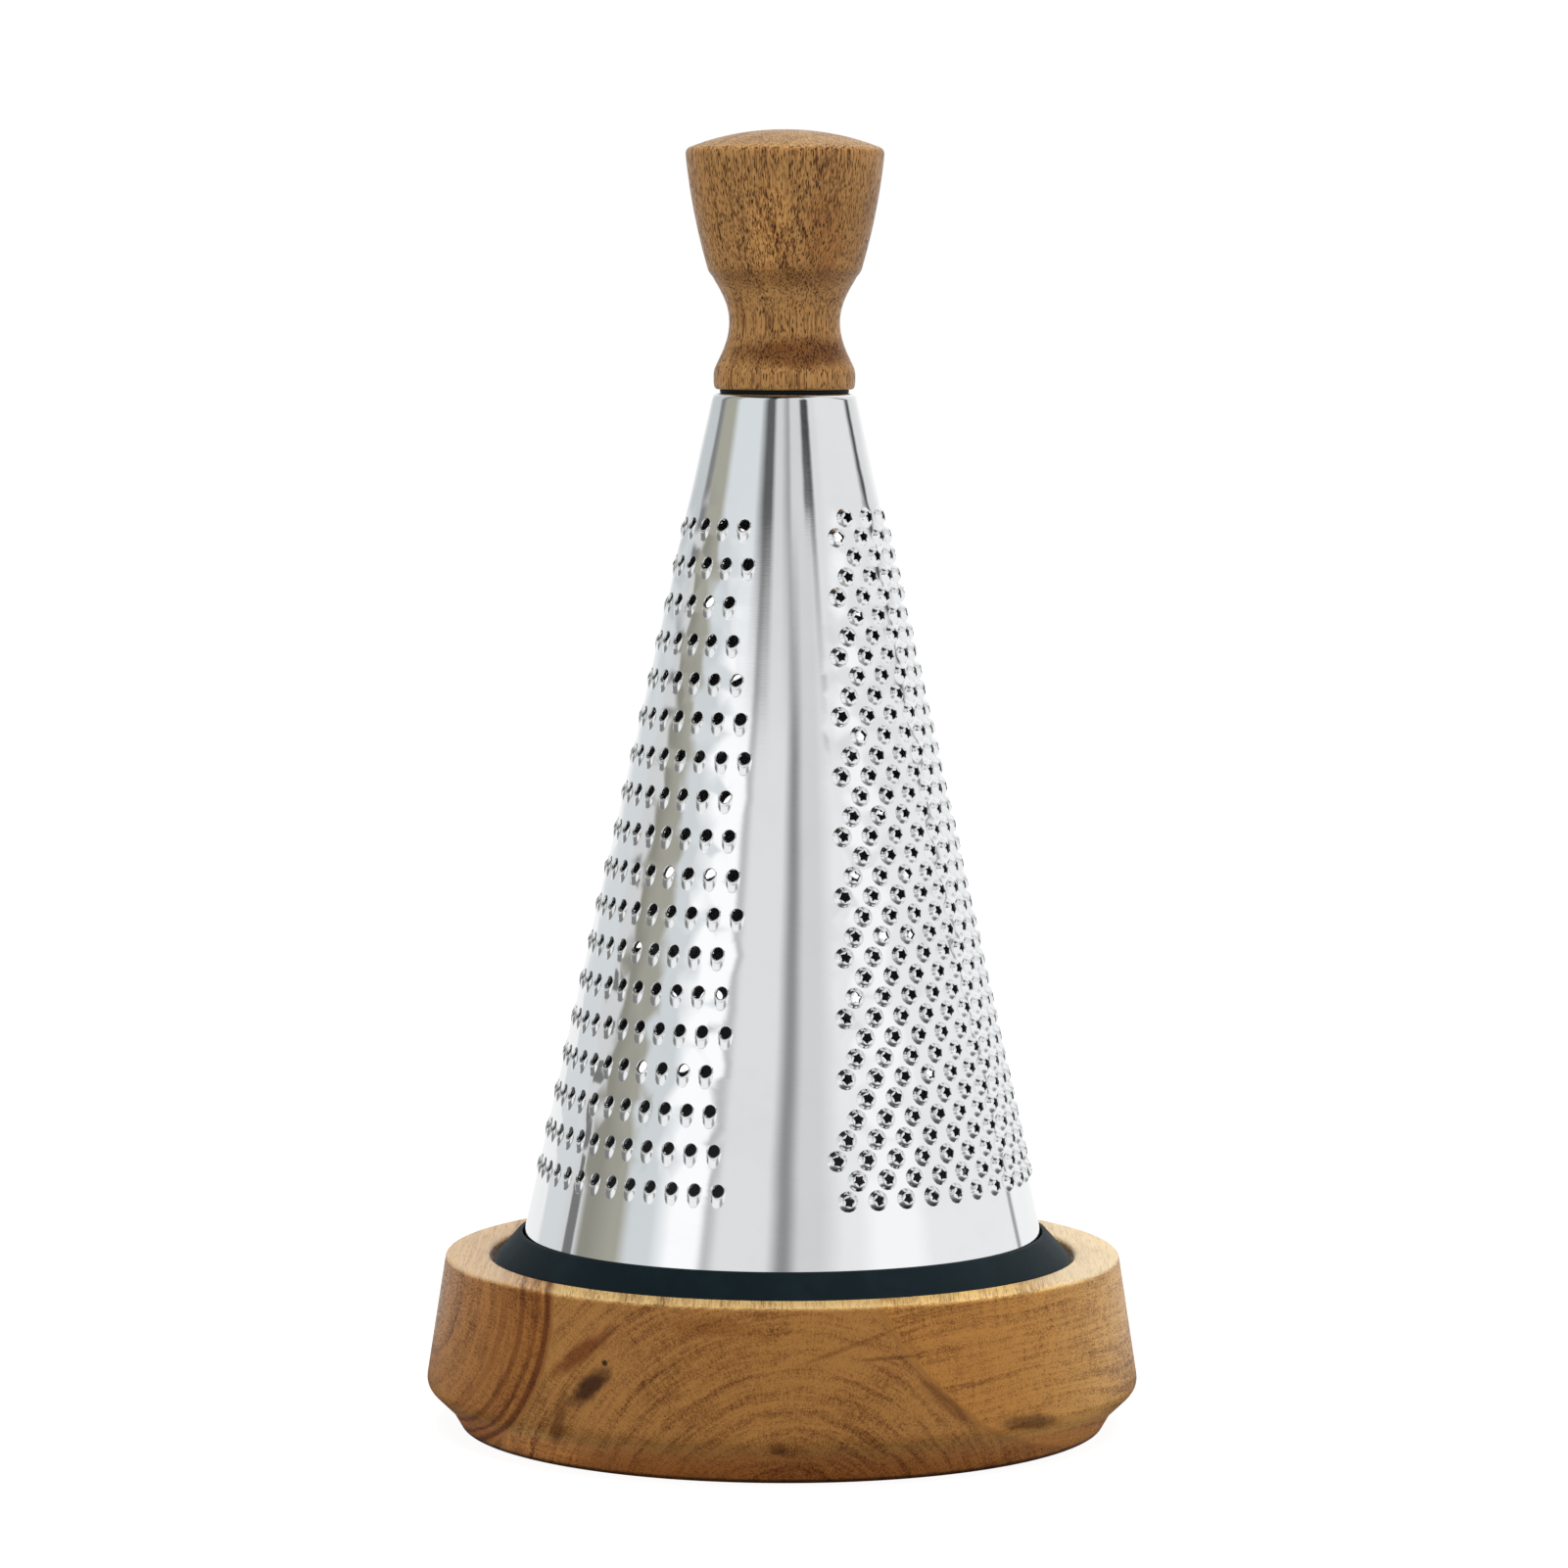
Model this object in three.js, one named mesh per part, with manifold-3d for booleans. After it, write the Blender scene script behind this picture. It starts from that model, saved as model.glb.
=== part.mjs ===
// Cone cheese grater: a perforated steel cone with a turned wooden knob, standing by its
// rubber rim in the recess of a turned wooden tray.
// Millimetres, +Z up, origin at the centre of the tray's underside. The plain strip between
// the shredding teeth and the rasp faces -Y.
import * as THREE from "three";
import { mergeGeometries, mergeVertices } from "three/addons/utils/BufferGeometryUtils.js";
import Module from "manifold-3d";

const wasm = await Module();
wasm.setup();

// Clearances
const FIT_GAP = 0.3; // between parts that sit inside one another
const SIDE_GAP = 0.8; // between the rubber rim and the tray's recess, all round

// Wooden tray
const TRAY_HEIGHT = 30;
const RIM_WIDTH = 7.8; // flat rim round the recess
const RIM_OUTER_ROUND = 0.8;
const RIM_INNER_ROUND = 1.1;
const WALL_FLARE = 3.5; // how much further out the wall stands at its chin
const CHIN_HEIGHT = 7.3;
const CHIN_ROUND = 1.5;
const FOOT_INSET = 4.4; // from the chin in to the foot
const FOOT_HEIGHT = 3.1;
const FOOT_TAPER = 1.8;
const FOOT_ROUND = 0.3;
const RECESS_DEPTH = 8; // from the rim down to the ledge that carries the rubber rim
const LEDGE_WIDTH = 7.6;
const BOWL_FLOOR = 9; // wood left under the bowl
const BOWL_ROUND = 6;

// Rubber rim
const RING_HEIGHT = 11.8;
const RING_FLOOR = 2; // rubber under the cone's edge
const RING_LIP = 0.7; // thickness of the outer lip at its top
const RING_FLARE = 4.1; // how much further out the rim stands than its lip
const RING_WALL_HEIGHT = 7.2; // upright outer wall, below the sloping face
const RING_INNER_HEIGHT = 7;
const RING_INNER_WALL = 1.6;
const RING_ROUND = 0.8;

// Steel cone
const SHEET = 0.6;
const CONE_HEIGHT = 156;
const CONE_TOP_RADIUS = 12.3;
const CONE_FOOT_RADIUS = 47.4;
const SHOULDER_ROUND = 1.1;

// Three sectors of teeth, each a third of the cone
const SECTOR = (2 * Math.PI) / 3;
const PUNCH_DEPTH = 8;

// Shredding teeth: round holes in rows of equal height
const SHRED_HOLE_RADIUS = 1.1;
const SHRED_PITCH = 4.2;
const SHRED_ROW_STEP = 6.539;
const SHRED_ROW_SHIFT = 0.7535; // each row starts this much nearer the plain strip
const SHRED_FIRST = 7; // the top row's first hole, from the middle of the strip
const SHRED_TOP_MARGIN = 22.4; // from the cone's top to the first row
const SHRED_FOOT_MARGIN = 12.7; // from the rubber rim to the last row
const SHRED_STRIP = 5.8; // least half-width of the plain strip beside the teeth
const SHRED_STRIP_ANGLE = 0.24;
const SHRED_SIDES = 5;

// Rasp: raised points in rows that each start a little further on than the one below
const RASP_RADIUS = 1.5;
const RASP_HEIGHT = 1.1;
const RASP_PITCH = 5.35;
const RASP_ROW_STEP = 3.356;
const RASP_ROW_SHIFT = 1.7306;
const RASP_FIRST = 11.2; // the lowest row's first point, from the middle of the strip
const RASP_TOP_MARGIN = 20.2;
const RASP_FOOT_MARGIN = 11.2;
const RASP_STRIP = 9.2;
const RASP_SIDES = 3;

// Coarse teeth: large holes, every other row set half a pitch across
const COARSE_HOLE_RADIUS = 2.5;
const COARSE_PITCH = 9;
const COARSE_ROW_STEP = 12;
const COARSE_TOP_MARGIN = 26;
const COARSE_FOOT_MARGIN = 14.7;
const COARSE_STRIP = 7.5;
const COARSE_STRIP_ANGLE = 0.22;
const COARSE_SIDES = 6;

// Wooden knob
const KNOB_HEIGHT = 44.85;
const KNOB_FOOT_RADIUS = 12.3;
const KNOB_FOOT_HEIGHT = 2.6;
const KNOB_FOOT_ROUND = 0.9;
const KNOB_NECK_RADIUS = 9.6;
const KNOB_NECK_HEIGHT = 11.7;
const KNOB_SHOULDER_RADIUS = 13.3;
const KNOB_SHOULDER_HEIGHT = 20.3;
const KNOB_SHOULDER_ROUND = 1.1;
const KNOB_TOP_RADIUS = 17.2;
const KNOB_FLARE_BOW = 0.9; // how far the flare bulges from a straight taper
const KNOB_EDGE_ROUND = 1.1;
const KNOB_DOME = 3.2;

// Knob fastening
const GASKET = 0.6;
const GASKET_RADIUS = 11.2;
const SCREW_RADIUS = 2.5;
const SCREW_LENGTH = 16;
const SCREW_HEAD_RADIUS = 4.7;
const SCREW_HEAD_HEIGHT = 3;
const SCREW_HEAD_ROUND = 1.4;
const SLOT_WIDTH = 1.1;
const SLOT_LENGTH = 5;
const SLOT_DEPTH = 1.6;
const WASHER = 1.2;
const WASHER_RADIUS = 8;
const INSERT_WALL = 1.4;
const INSERT_LENGTH = 13;
const INSERT_END_SPACE = 4; // knob bore left above the insert

// Facets
const ROUND_STEPS = 3;
const CURVE_STEPS = 5;
const TRAY_SIDES = 48;
const RING_SIDES = 48;
const CONE_SIDES = 36;
const KNOB_SIDES = 28;
const SCREW_SIDES = 16;

// Heights, from the table up
const SEAT_Z = TRAY_HEIGHT - RECESS_DEPTH;
const GROOVE_Z = SEAT_Z + RING_FLOOR;
const RING_TOP_Z = SEAT_Z + RING_HEIGHT;
const CONE_FOOT_Z = GROOVE_Z + FIT_GAP;
const CONE_TOP_Z = CONE_FOOT_Z + CONE_HEIGHT;
const KNOB_Z = CONE_TOP_Z + GASKET;
const WASHER_TOP_Z = CONE_TOP_Z - SHEET;
const SCREW_HEAD_Z = WASHER_TOP_Z - WASHER;

// The cone's slope, and its radius outside and inside the sheet at a height
const CONE_TAPER = (CONE_FOOT_RADIUS - CONE_TOP_RADIUS) / CONE_HEIGHT;
const CONE_LEAN = Math.atan(CONE_TAPER);
const SHEET_ACROSS = SHEET / Math.cos(CONE_LEAN);
const outerRadius = (z) => CONE_FOOT_RADIUS - (z - CONE_FOOT_Z) * CONE_TAPER;
const innerRadius = (z) => outerRadius(z) - SHEET_ACROSS;

// Radii that follow from what sits inside
const RING_OUTER = outerRadius(RING_TOP_Z) + FIT_GAP + RING_LIP + RING_FLARE;
const RECESS_RADIUS = RING_OUTER + SIDE_GAP;
const RIM_OUTER = RECESS_RADIUS + RIM_WIDTH;
const CHIN_RADIUS = RIM_OUTER + WALL_FLARE;
const FOOT_RADIUS = CHIN_RADIUS - FOOT_INSET;
const SCREW_HOLE = SCREW_RADIUS + FIT_GAP;
const INSERT_RADIUS = SCREW_HOLE + INSERT_WALL;

// Profiles and solids

// The point on the way from a corner to its neighbour where the corner's rounding starts.
function roundingStart(corner, neighbour, round) {
  const side = new THREE.Vector2(neighbour[0], neighbour[1]).sub(corner);
  return corner.clone().add(side.setLength(Math.min(round, 0.45 * side.length())));
}

// A profile of [radius, height, rounding] corners, anticlockwise, as points.
function roundedProfile(corners) {
  return corners.flatMap(([r, z, round], i) => {
    const corner = new THREE.Vector2(r, z);
    if (!round) return [corner];
    const from = roundingStart(corner, corners.at(i - 1), round);
    const to = roundingStart(corner, corners[(i + 1) % corners.length], round);
    return new THREE.QuadraticBezierCurve(from, corner, to).getPoints(ROUND_STEPS);
  });
}

// A profile turned about Z. Angle 0 faces -Y and angles grow towards +X.
function turned(profile, sides) {
  return new THREE.LatheGeometry(profile, sides).rotateX(Math.PI / 2);
}

// The same for a ring, whose profile goes right round and closes on itself.
function turnedRing(profile, sides) {
  return turned([...profile, profile[0].clone()], sides);
}

// A flat ring from one radius to another, and from one height up to another.
function flatRing(inner, outer, low, high, sides) {
  return turnedRing(roundedProfile([[inner, low], [outer, low], [outer, high], [inner, high]]), sides);
}

function solidOf(geometry) {
  const bare = geometry.clone();
  bare.deleteAttribute("normal");
  bare.deleteAttribute("uv");
  const merged = mergeVertices(bare, 1e-4);
  return new wasm.Manifold(
    new wasm.Mesh({
      numProp: 3,
      vertProperties: merged.attributes.position.array,
      triVerts: new Uint32Array(merged.index.array),
    }),
  );
}

function geometryOf(solid) {
  const mesh = solid.getMesh();
  const geometry = new THREE.BufferGeometry();
  geometry.setAttribute("position", new THREE.BufferAttribute(mesh.vertProperties, 3));
  geometry.setIndex(new THREE.BufferAttribute(mesh.triVerts, 1));
  return geometry;
}

// Teeth on the cone

// Where a tooth stands: its X runs round the cone, Y up the slope and Z straight out of the sheet.
function toothPlace(angle, z) {
  const around = new THREE.Vector3(Math.cos(angle), Math.sin(angle), 0);
  const outward = new THREE.Vector3(Math.sin(angle), -Math.cos(angle), 0);
  const upSlope = outward.clone().multiplyScalar(-Math.sin(CONE_LEAN)).setZ(Math.cos(CONE_LEAN));
  const facing = new THREE.Vector3().crossVectors(around, upSlope);
  const point = outward.multiplyScalar(outerRadius(z)).setZ(z);
  return new THREE.Matrix4().makeBasis(around, upSlope, facing).setPosition(point);
}

// Distances along a row, one pitch apart, that lie between two limits.
function rowArcs(first, pitch, lowest, highest) {
  const arcs = [];
  let arc = first + Math.ceil((lowest - first) / pitch) * pitch;
  for (; arc <= highest; arc += pitch) arcs.push(arc);
  return arcs;
}

// Copies of one tooth at [angle, height] places, as one geometry.
function teethAt(tooth, places) {
  return mergeGeometries(places.map(([angle, z]) => tooth.clone().applyMatrix4(toothPlace(angle, z))));
}

// Shredding teeth run to the left of the front strip.
function shredPlaces() {
  const places = [];
  const lastZ = RING_TOP_Z + SHRED_FOOT_MARGIN;
  let first = SHRED_FIRST;
  for (let z = CONE_TOP_Z - SHRED_TOP_MARGIN; z >= lastZ; z -= SHRED_ROW_STEP) {
    const r = outerRadius(z);
    const strip = Math.max(SHRED_STRIP, SHRED_STRIP_ANGLE * r);
    for (const arc of rowArcs(first, SHRED_PITCH, strip, SECTOR * r - strip)) places.push([-arc / r, z]);
    first -= SHRED_ROW_SHIFT;
  }
  return places;
}

// The rasp runs to the right of the front strip.
function raspPlaces() {
  const places = [];
  const topZ = CONE_TOP_Z - RASP_TOP_MARGIN;
  let first = RASP_FIRST;
  for (let z = RING_TOP_Z + RASP_FOOT_MARGIN; z <= topZ; z += RASP_ROW_STEP) {
    const r = outerRadius(z);
    const arcs = rowArcs(first, RASP_PITCH, RASP_STRIP, SECTOR * r - RASP_STRIP);
    for (const arc of arcs) places.push([arc / r, z]);
    first += RASP_ROW_SHIFT;
  }
  return places;
}

// Coarse teeth fill the sector at the back, centred on +Y.
function coarsePlaces() {
  const places = [];
  const lastZ = RING_TOP_Z + COARSE_FOOT_MARGIN;
  let first = 0;
  for (let z = CONE_TOP_Z - COARSE_TOP_MARGIN; z >= lastZ; z -= COARSE_ROW_STEP) {
    const r = outerRadius(z);
    const reach = (SECTOR * r) / 2 - Math.max(COARSE_STRIP, COARSE_STRIP_ANGLE * r);
    for (const arc of rowArcs(first, COARSE_PITCH, -reach, reach)) places.push([Math.PI + arc / r, z]);
    first = COARSE_PITCH / 2 - first;
  }
  return places;
}

// A pointed punch that cuts a round hole through the sheet, square to it and narrowing inwards.
function punch(radius, sides) {
  const point = new THREE.ConeGeometry(radius, PUNCH_DEPTH, sides).rotateX(-Math.PI / 2);
  return point.translate(0, 0, SHEET - PUNCH_DEPTH / 2);
}

// A raised point, its foot sunk into the sheet.
function raspPoint() {
  const sunk = SHEET / 2;
  const point = new THREE.ConeGeometry(RASP_RADIUS, RASP_HEIGHT + sunk, RASP_SIDES);
  return point.rotateX(Math.PI / 2).translate(0, 0, (RASP_HEIGHT - sunk) / 2);
}

// Pieces

function trayGeometry() {
  const bowl = RECESS_RADIUS - LEDGE_WIDTH;
  return turned(
    roundedProfile([
      [0, 0],
      [FOOT_RADIUS - FOOT_TAPER, 0, FOOT_ROUND],
      [FOOT_RADIUS, FOOT_HEIGHT],
      [CHIN_RADIUS, CHIN_HEIGHT, CHIN_ROUND],
      [RIM_OUTER, TRAY_HEIGHT, RIM_OUTER_ROUND],
      [RECESS_RADIUS, TRAY_HEIGHT, RIM_INNER_ROUND],
      [RECESS_RADIUS, SEAT_Z],
      [bowl, SEAT_Z],
      [bowl, BOWL_FLOOR, BOWL_ROUND],
      [0, BOWL_FLOOR],
    ]),
    TRAY_SIDES,
  );
}

function ringGeometry() {
  const lipInner = outerRadius(RING_TOP_Z) + FIT_GAP;
  const innerTopZ = SEAT_Z + RING_INNER_HEIGHT;
  const innerTop = innerRadius(innerTopZ) - FIT_GAP;
  const bore = innerTop - RING_INNER_WALL;
  return turnedRing(
    roundedProfile([
      [bore, SEAT_Z],
      [RING_OUTER, SEAT_Z, RING_ROUND],
      [RING_OUTER, SEAT_Z + RING_WALL_HEIGHT, RING_ROUND],
      [lipInner + RING_LIP, RING_TOP_Z],
      [lipInner, RING_TOP_Z],
      [outerRadius(GROOVE_Z) + FIT_GAP, GROOVE_Z],
      [innerRadius(GROOVE_Z) - FIT_GAP, GROOVE_Z],
      [innerTop, innerTopZ],
      [bore, innerTopZ],
    ]),
    RING_SIDES,
  );
}

function coneGeometry() {
  const sheet = turnedRing(
    roundedProfile([
      [innerRadius(CONE_FOOT_Z), CONE_FOOT_Z],
      [outerRadius(CONE_FOOT_Z), CONE_FOOT_Z],
      [outerRadius(CONE_TOP_Z), CONE_TOP_Z, SHOULDER_ROUND],
      [SCREW_HOLE, CONE_TOP_Z],
      [SCREW_HOLE, CONE_TOP_Z - SHEET],
      [innerRadius(CONE_TOP_Z - SHEET), CONE_TOP_Z - SHEET, SHOULDER_ROUND - SHEET],
    ]),
    CONE_SIDES,
  );
  const shred = teethAt(punch(SHRED_HOLE_RADIUS, SHRED_SIDES), shredPlaces());
  const coarse = teethAt(punch(COARSE_HOLE_RADIUS, COARSE_SIDES), coarsePlaces());
  const rasp = teethAt(raspPoint(), raspPlaces());
  return geometryOf(solidOf(sheet).add(solidOf(rasp)).subtract(solidOf(shred)).subtract(solidOf(coarse)));
}

// The knob's waist and flare are curves; its bore takes the threaded insert from below.
function knobGeometry() {
  const bore = INSERT_RADIUS + FIT_GAP;
  const boreTop = KNOB_Z + INSERT_LENGTH + INSERT_END_SPACE;
  const foot = new THREE.Vector2(KNOB_FOOT_RADIUS, KNOB_Z + KNOB_FOOT_HEIGHT);
  const neck = new THREE.Vector2(KNOB_NECK_RADIUS, KNOB_Z + KNOB_NECK_HEIGHT);
  const shoulder = new THREE.Vector2(KNOB_SHOULDER_RADIUS, KNOB_Z + KNOB_SHOULDER_HEIGHT);
  const topZ = KNOB_Z + KNOB_HEIGHT;
  const edge = new THREE.Vector2(KNOB_TOP_RADIUS, topZ - KNOB_DOME);
  const outline = new THREE.Path();
  outline.moveTo(0, boreTop);
  outline.lineTo(bore, boreTop);
  outline.lineTo(bore, KNOB_Z);
  outline.lineTo(KNOB_FOOT_RADIUS - KNOB_FOOT_ROUND, KNOB_Z);
  outline.quadraticCurveTo(KNOB_FOOT_RADIUS, KNOB_Z, foot.x, foot.y);
  outline.bezierCurveTo(
    foot.x, foot.y + (neck.y - foot.y) * 0.2,
    neck.x, neck.y - (neck.y - foot.y) * 0.5,
    neck.x, neck.y,
  );
  const below = shoulder.clone().addScalar(-0.7 * KNOB_SHOULDER_ROUND);
  outline.bezierCurveTo(
    neck.x, neck.y + (shoulder.y - neck.y) * 0.4,
    shoulder.x - 1.5 * KNOB_SHOULDER_ROUND, shoulder.y - 2.2 * KNOB_SHOULDER_ROUND,
    below.x, below.y,
  );
  const brim = new THREE.Vector2(edge.x, edge.y - KNOB_EDGE_ROUND);
  const above = shoulder.clone().lerp(brim, KNOB_SHOULDER_ROUND / shoulder.distanceTo(brim));
  outline.quadraticCurveTo(shoulder.x, shoulder.y, above.x, above.y);
  const flare = above.clone().lerp(brim, 0.5);
  outline.quadraticCurveTo(flare.x + KNOB_FLARE_BOW, flare.y, brim.x, brim.y);
  outline.quadraticCurveTo(edge.x, edge.y, edge.x - KNOB_EDGE_ROUND, edge.y + KNOB_EDGE_ROUND / 4);
  outline.quadraticCurveTo(edge.x / 2, topZ, 0, topZ);
  return turned(outline.getPoints(CURVE_STEPS), KNOB_SIDES);
}

function gasketGeometry() {
  return flatRing(INSERT_RADIUS, GASKET_RADIUS, CONE_TOP_Z, KNOB_Z, KNOB_SIDES);
}

function insertGeometry() {
  return flatRing(SCREW_HOLE, INSERT_RADIUS, KNOB_Z, KNOB_Z + INSERT_LENGTH, SCREW_SIDES);
}

function washerGeometry() {
  return flatRing(SCREW_HOLE, WASHER_RADIUS, SCREW_HEAD_Z, WASHER_TOP_Z, SCREW_SIDES);
}

// A pan-head screw, head down, with a crossed slot in its head.
function screwGeometry() {
  const headFoot = SCREW_HEAD_Z - SCREW_HEAD_HEIGHT;
  const screw = turned(
    roundedProfile([
      [0, headFoot],
      [SCREW_HEAD_RADIUS, headFoot, SCREW_HEAD_ROUND],
      [SCREW_HEAD_RADIUS, SCREW_HEAD_Z],
      [SCREW_RADIUS, SCREW_HEAD_Z],
      [SCREW_RADIUS, SCREW_HEAD_Z + SCREW_LENGTH],
      [0, SCREW_HEAD_Z + SCREW_LENGTH],
    ]),
    SCREW_SIDES,
  );
  const slot = new THREE.BoxGeometry(SLOT_LENGTH, SLOT_WIDTH, 2 * SLOT_DEPTH).translate(0, 0, headFoot);
  const crossSlot = slot.clone().rotateZ(Math.PI / 2);
  return geometryOf(solidOf(screw).subtract(solidOf(slot)).subtract(solidOf(crossSlot)));
}

// Materials
const trayWood = new THREE.MeshStandardMaterial({ color: 0xa9773f, roughness: 0.55, metalness: 0 });
const knobWood = new THREE.MeshStandardMaterial({ color: 0x94683f, roughness: 0.6, metalness: 0 });
const steel = new THREE.MeshStandardMaterial({ color: 0xd5d8d9, roughness: 0.22, metalness: 1 });
const rubber = new THREE.MeshStandardMaterial({ color: 0x1c262b, roughness: 0.6, metalness: 0 });
const brass = new THREE.MeshStandardMaterial({ color: 0xb08d3f, roughness: 0.35, metalness: 1 });

function piece(name, geometry, material) {
  const mesh = new THREE.Mesh(geometry, material);
  mesh.name = name;
  return mesh;
}

const grater = new THREE.Group();
grater.add(
  piece("tray_base", trayGeometry(), trayWood),
  piece("rim_ring", ringGeometry(), rubber),
  piece("grater_cone", coneGeometry(), steel),
  piece("knob", knobGeometry(), knobWood),
  piece("knob_gasket", gasketGeometry(), rubber),
  piece("knob_insert", insertGeometry(), brass),
  piece("knob_screw", screwGeometry(), steel),
  piece("screw_washer", washerGeometry(), steel),
);

export default grater;
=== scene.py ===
"""Cone cheese grater on a pale floor: a punched steel cone, a turned knob and a turned tray.

Sizes are in millimetres unless a name says otherwise, and MM turns them into Blender's metres.
Angles round the cone start at the viewer's side, -Y, and grow towards +X.
"""

from __future__ import annotations

import logging
import math
import random
from dataclasses import dataclass, field
from enum import Enum
from typing import Any, Sequence

import bpy
from bpy.types import Material, Node, NodeSocket, Object, ShaderNodeTree
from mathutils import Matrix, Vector, noise
from mathutils.geometry import delaunay_2d_cdt

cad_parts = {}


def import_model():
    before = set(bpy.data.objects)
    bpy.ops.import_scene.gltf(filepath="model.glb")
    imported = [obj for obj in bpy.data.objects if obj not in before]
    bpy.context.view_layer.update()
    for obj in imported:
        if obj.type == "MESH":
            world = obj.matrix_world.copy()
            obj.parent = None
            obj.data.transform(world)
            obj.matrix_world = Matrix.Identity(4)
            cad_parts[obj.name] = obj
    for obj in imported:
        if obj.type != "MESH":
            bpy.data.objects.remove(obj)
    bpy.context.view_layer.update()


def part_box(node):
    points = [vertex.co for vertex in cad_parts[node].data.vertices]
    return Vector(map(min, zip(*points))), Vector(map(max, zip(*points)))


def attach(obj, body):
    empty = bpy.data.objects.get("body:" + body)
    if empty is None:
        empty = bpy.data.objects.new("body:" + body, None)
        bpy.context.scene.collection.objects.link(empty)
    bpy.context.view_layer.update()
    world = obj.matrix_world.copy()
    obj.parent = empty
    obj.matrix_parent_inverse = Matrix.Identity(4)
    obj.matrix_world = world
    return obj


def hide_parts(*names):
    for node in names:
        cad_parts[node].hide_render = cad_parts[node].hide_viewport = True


LOG = logging.getLogger("cone_grater")
MM = 0.001
ORIGIN = (0.0, 0.0, 0.0)
SQUARE = ((-1, -1), (1, -1), (1, 1), (-1, 1))
FULL_TURN_DEG = 360.0

Colour = tuple[float, float, float, float]
Point2 = tuple[float, float]
Point3 = tuple[float, float, float]
Ring = list[Point3]


class Body(Enum):
    """The moving bodies that pieces ride on."""

    TRAY = "tray"
    RIM = "rim"
    GRATER = "grater"


class Slot(Enum):
    """Material slots of the record."""

    TRAY_WOOD = "tray_wood"
    KNOB_WOOD = "knob_wood"
    STEEL = "steel"
    RUBBER = "rubber"
    BRASS = "brass"


class Socket(Enum):
    """Kinds of socket on an effect's node group."""

    COLOUR = "NodeSocketColor"
    VECTOR = "NodeSocketVector"
    VALUE = "NodeSocketFloat"


def srgb(red: int, green: int, blue: int) -> Colour:
    """A colour as it looks on screen, 0 to 255, as the linear colour that shaders take.

    Args:
        red: Red on screen.
        green: Green on screen.
        blue: Blue on screen.

    Returns:
        The linear colour, with full alpha.
    """
    def linear(value: int) -> float:
        """One part by the sRGB standard's curve."""
        share = value / 255
        return share / 12.92 if share <= 0.04045 else ((share + 0.055) / 1.055) ** 2.4

    return (linear(red), linear(green), linear(blue), 1.0)


def grey(level: float) -> Colour:
    """A linear grey."""
    return (level, level, level, 1.0)


def smooth(value: float, low: float, high: float) -> float:
    """0 below low, 1 above high and an even curve between."""
    share = min(max((value - low) / (high - low), 0.0), 1.0)
    return share * share * (3 - 2 * share)


# Shader nodes


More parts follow.
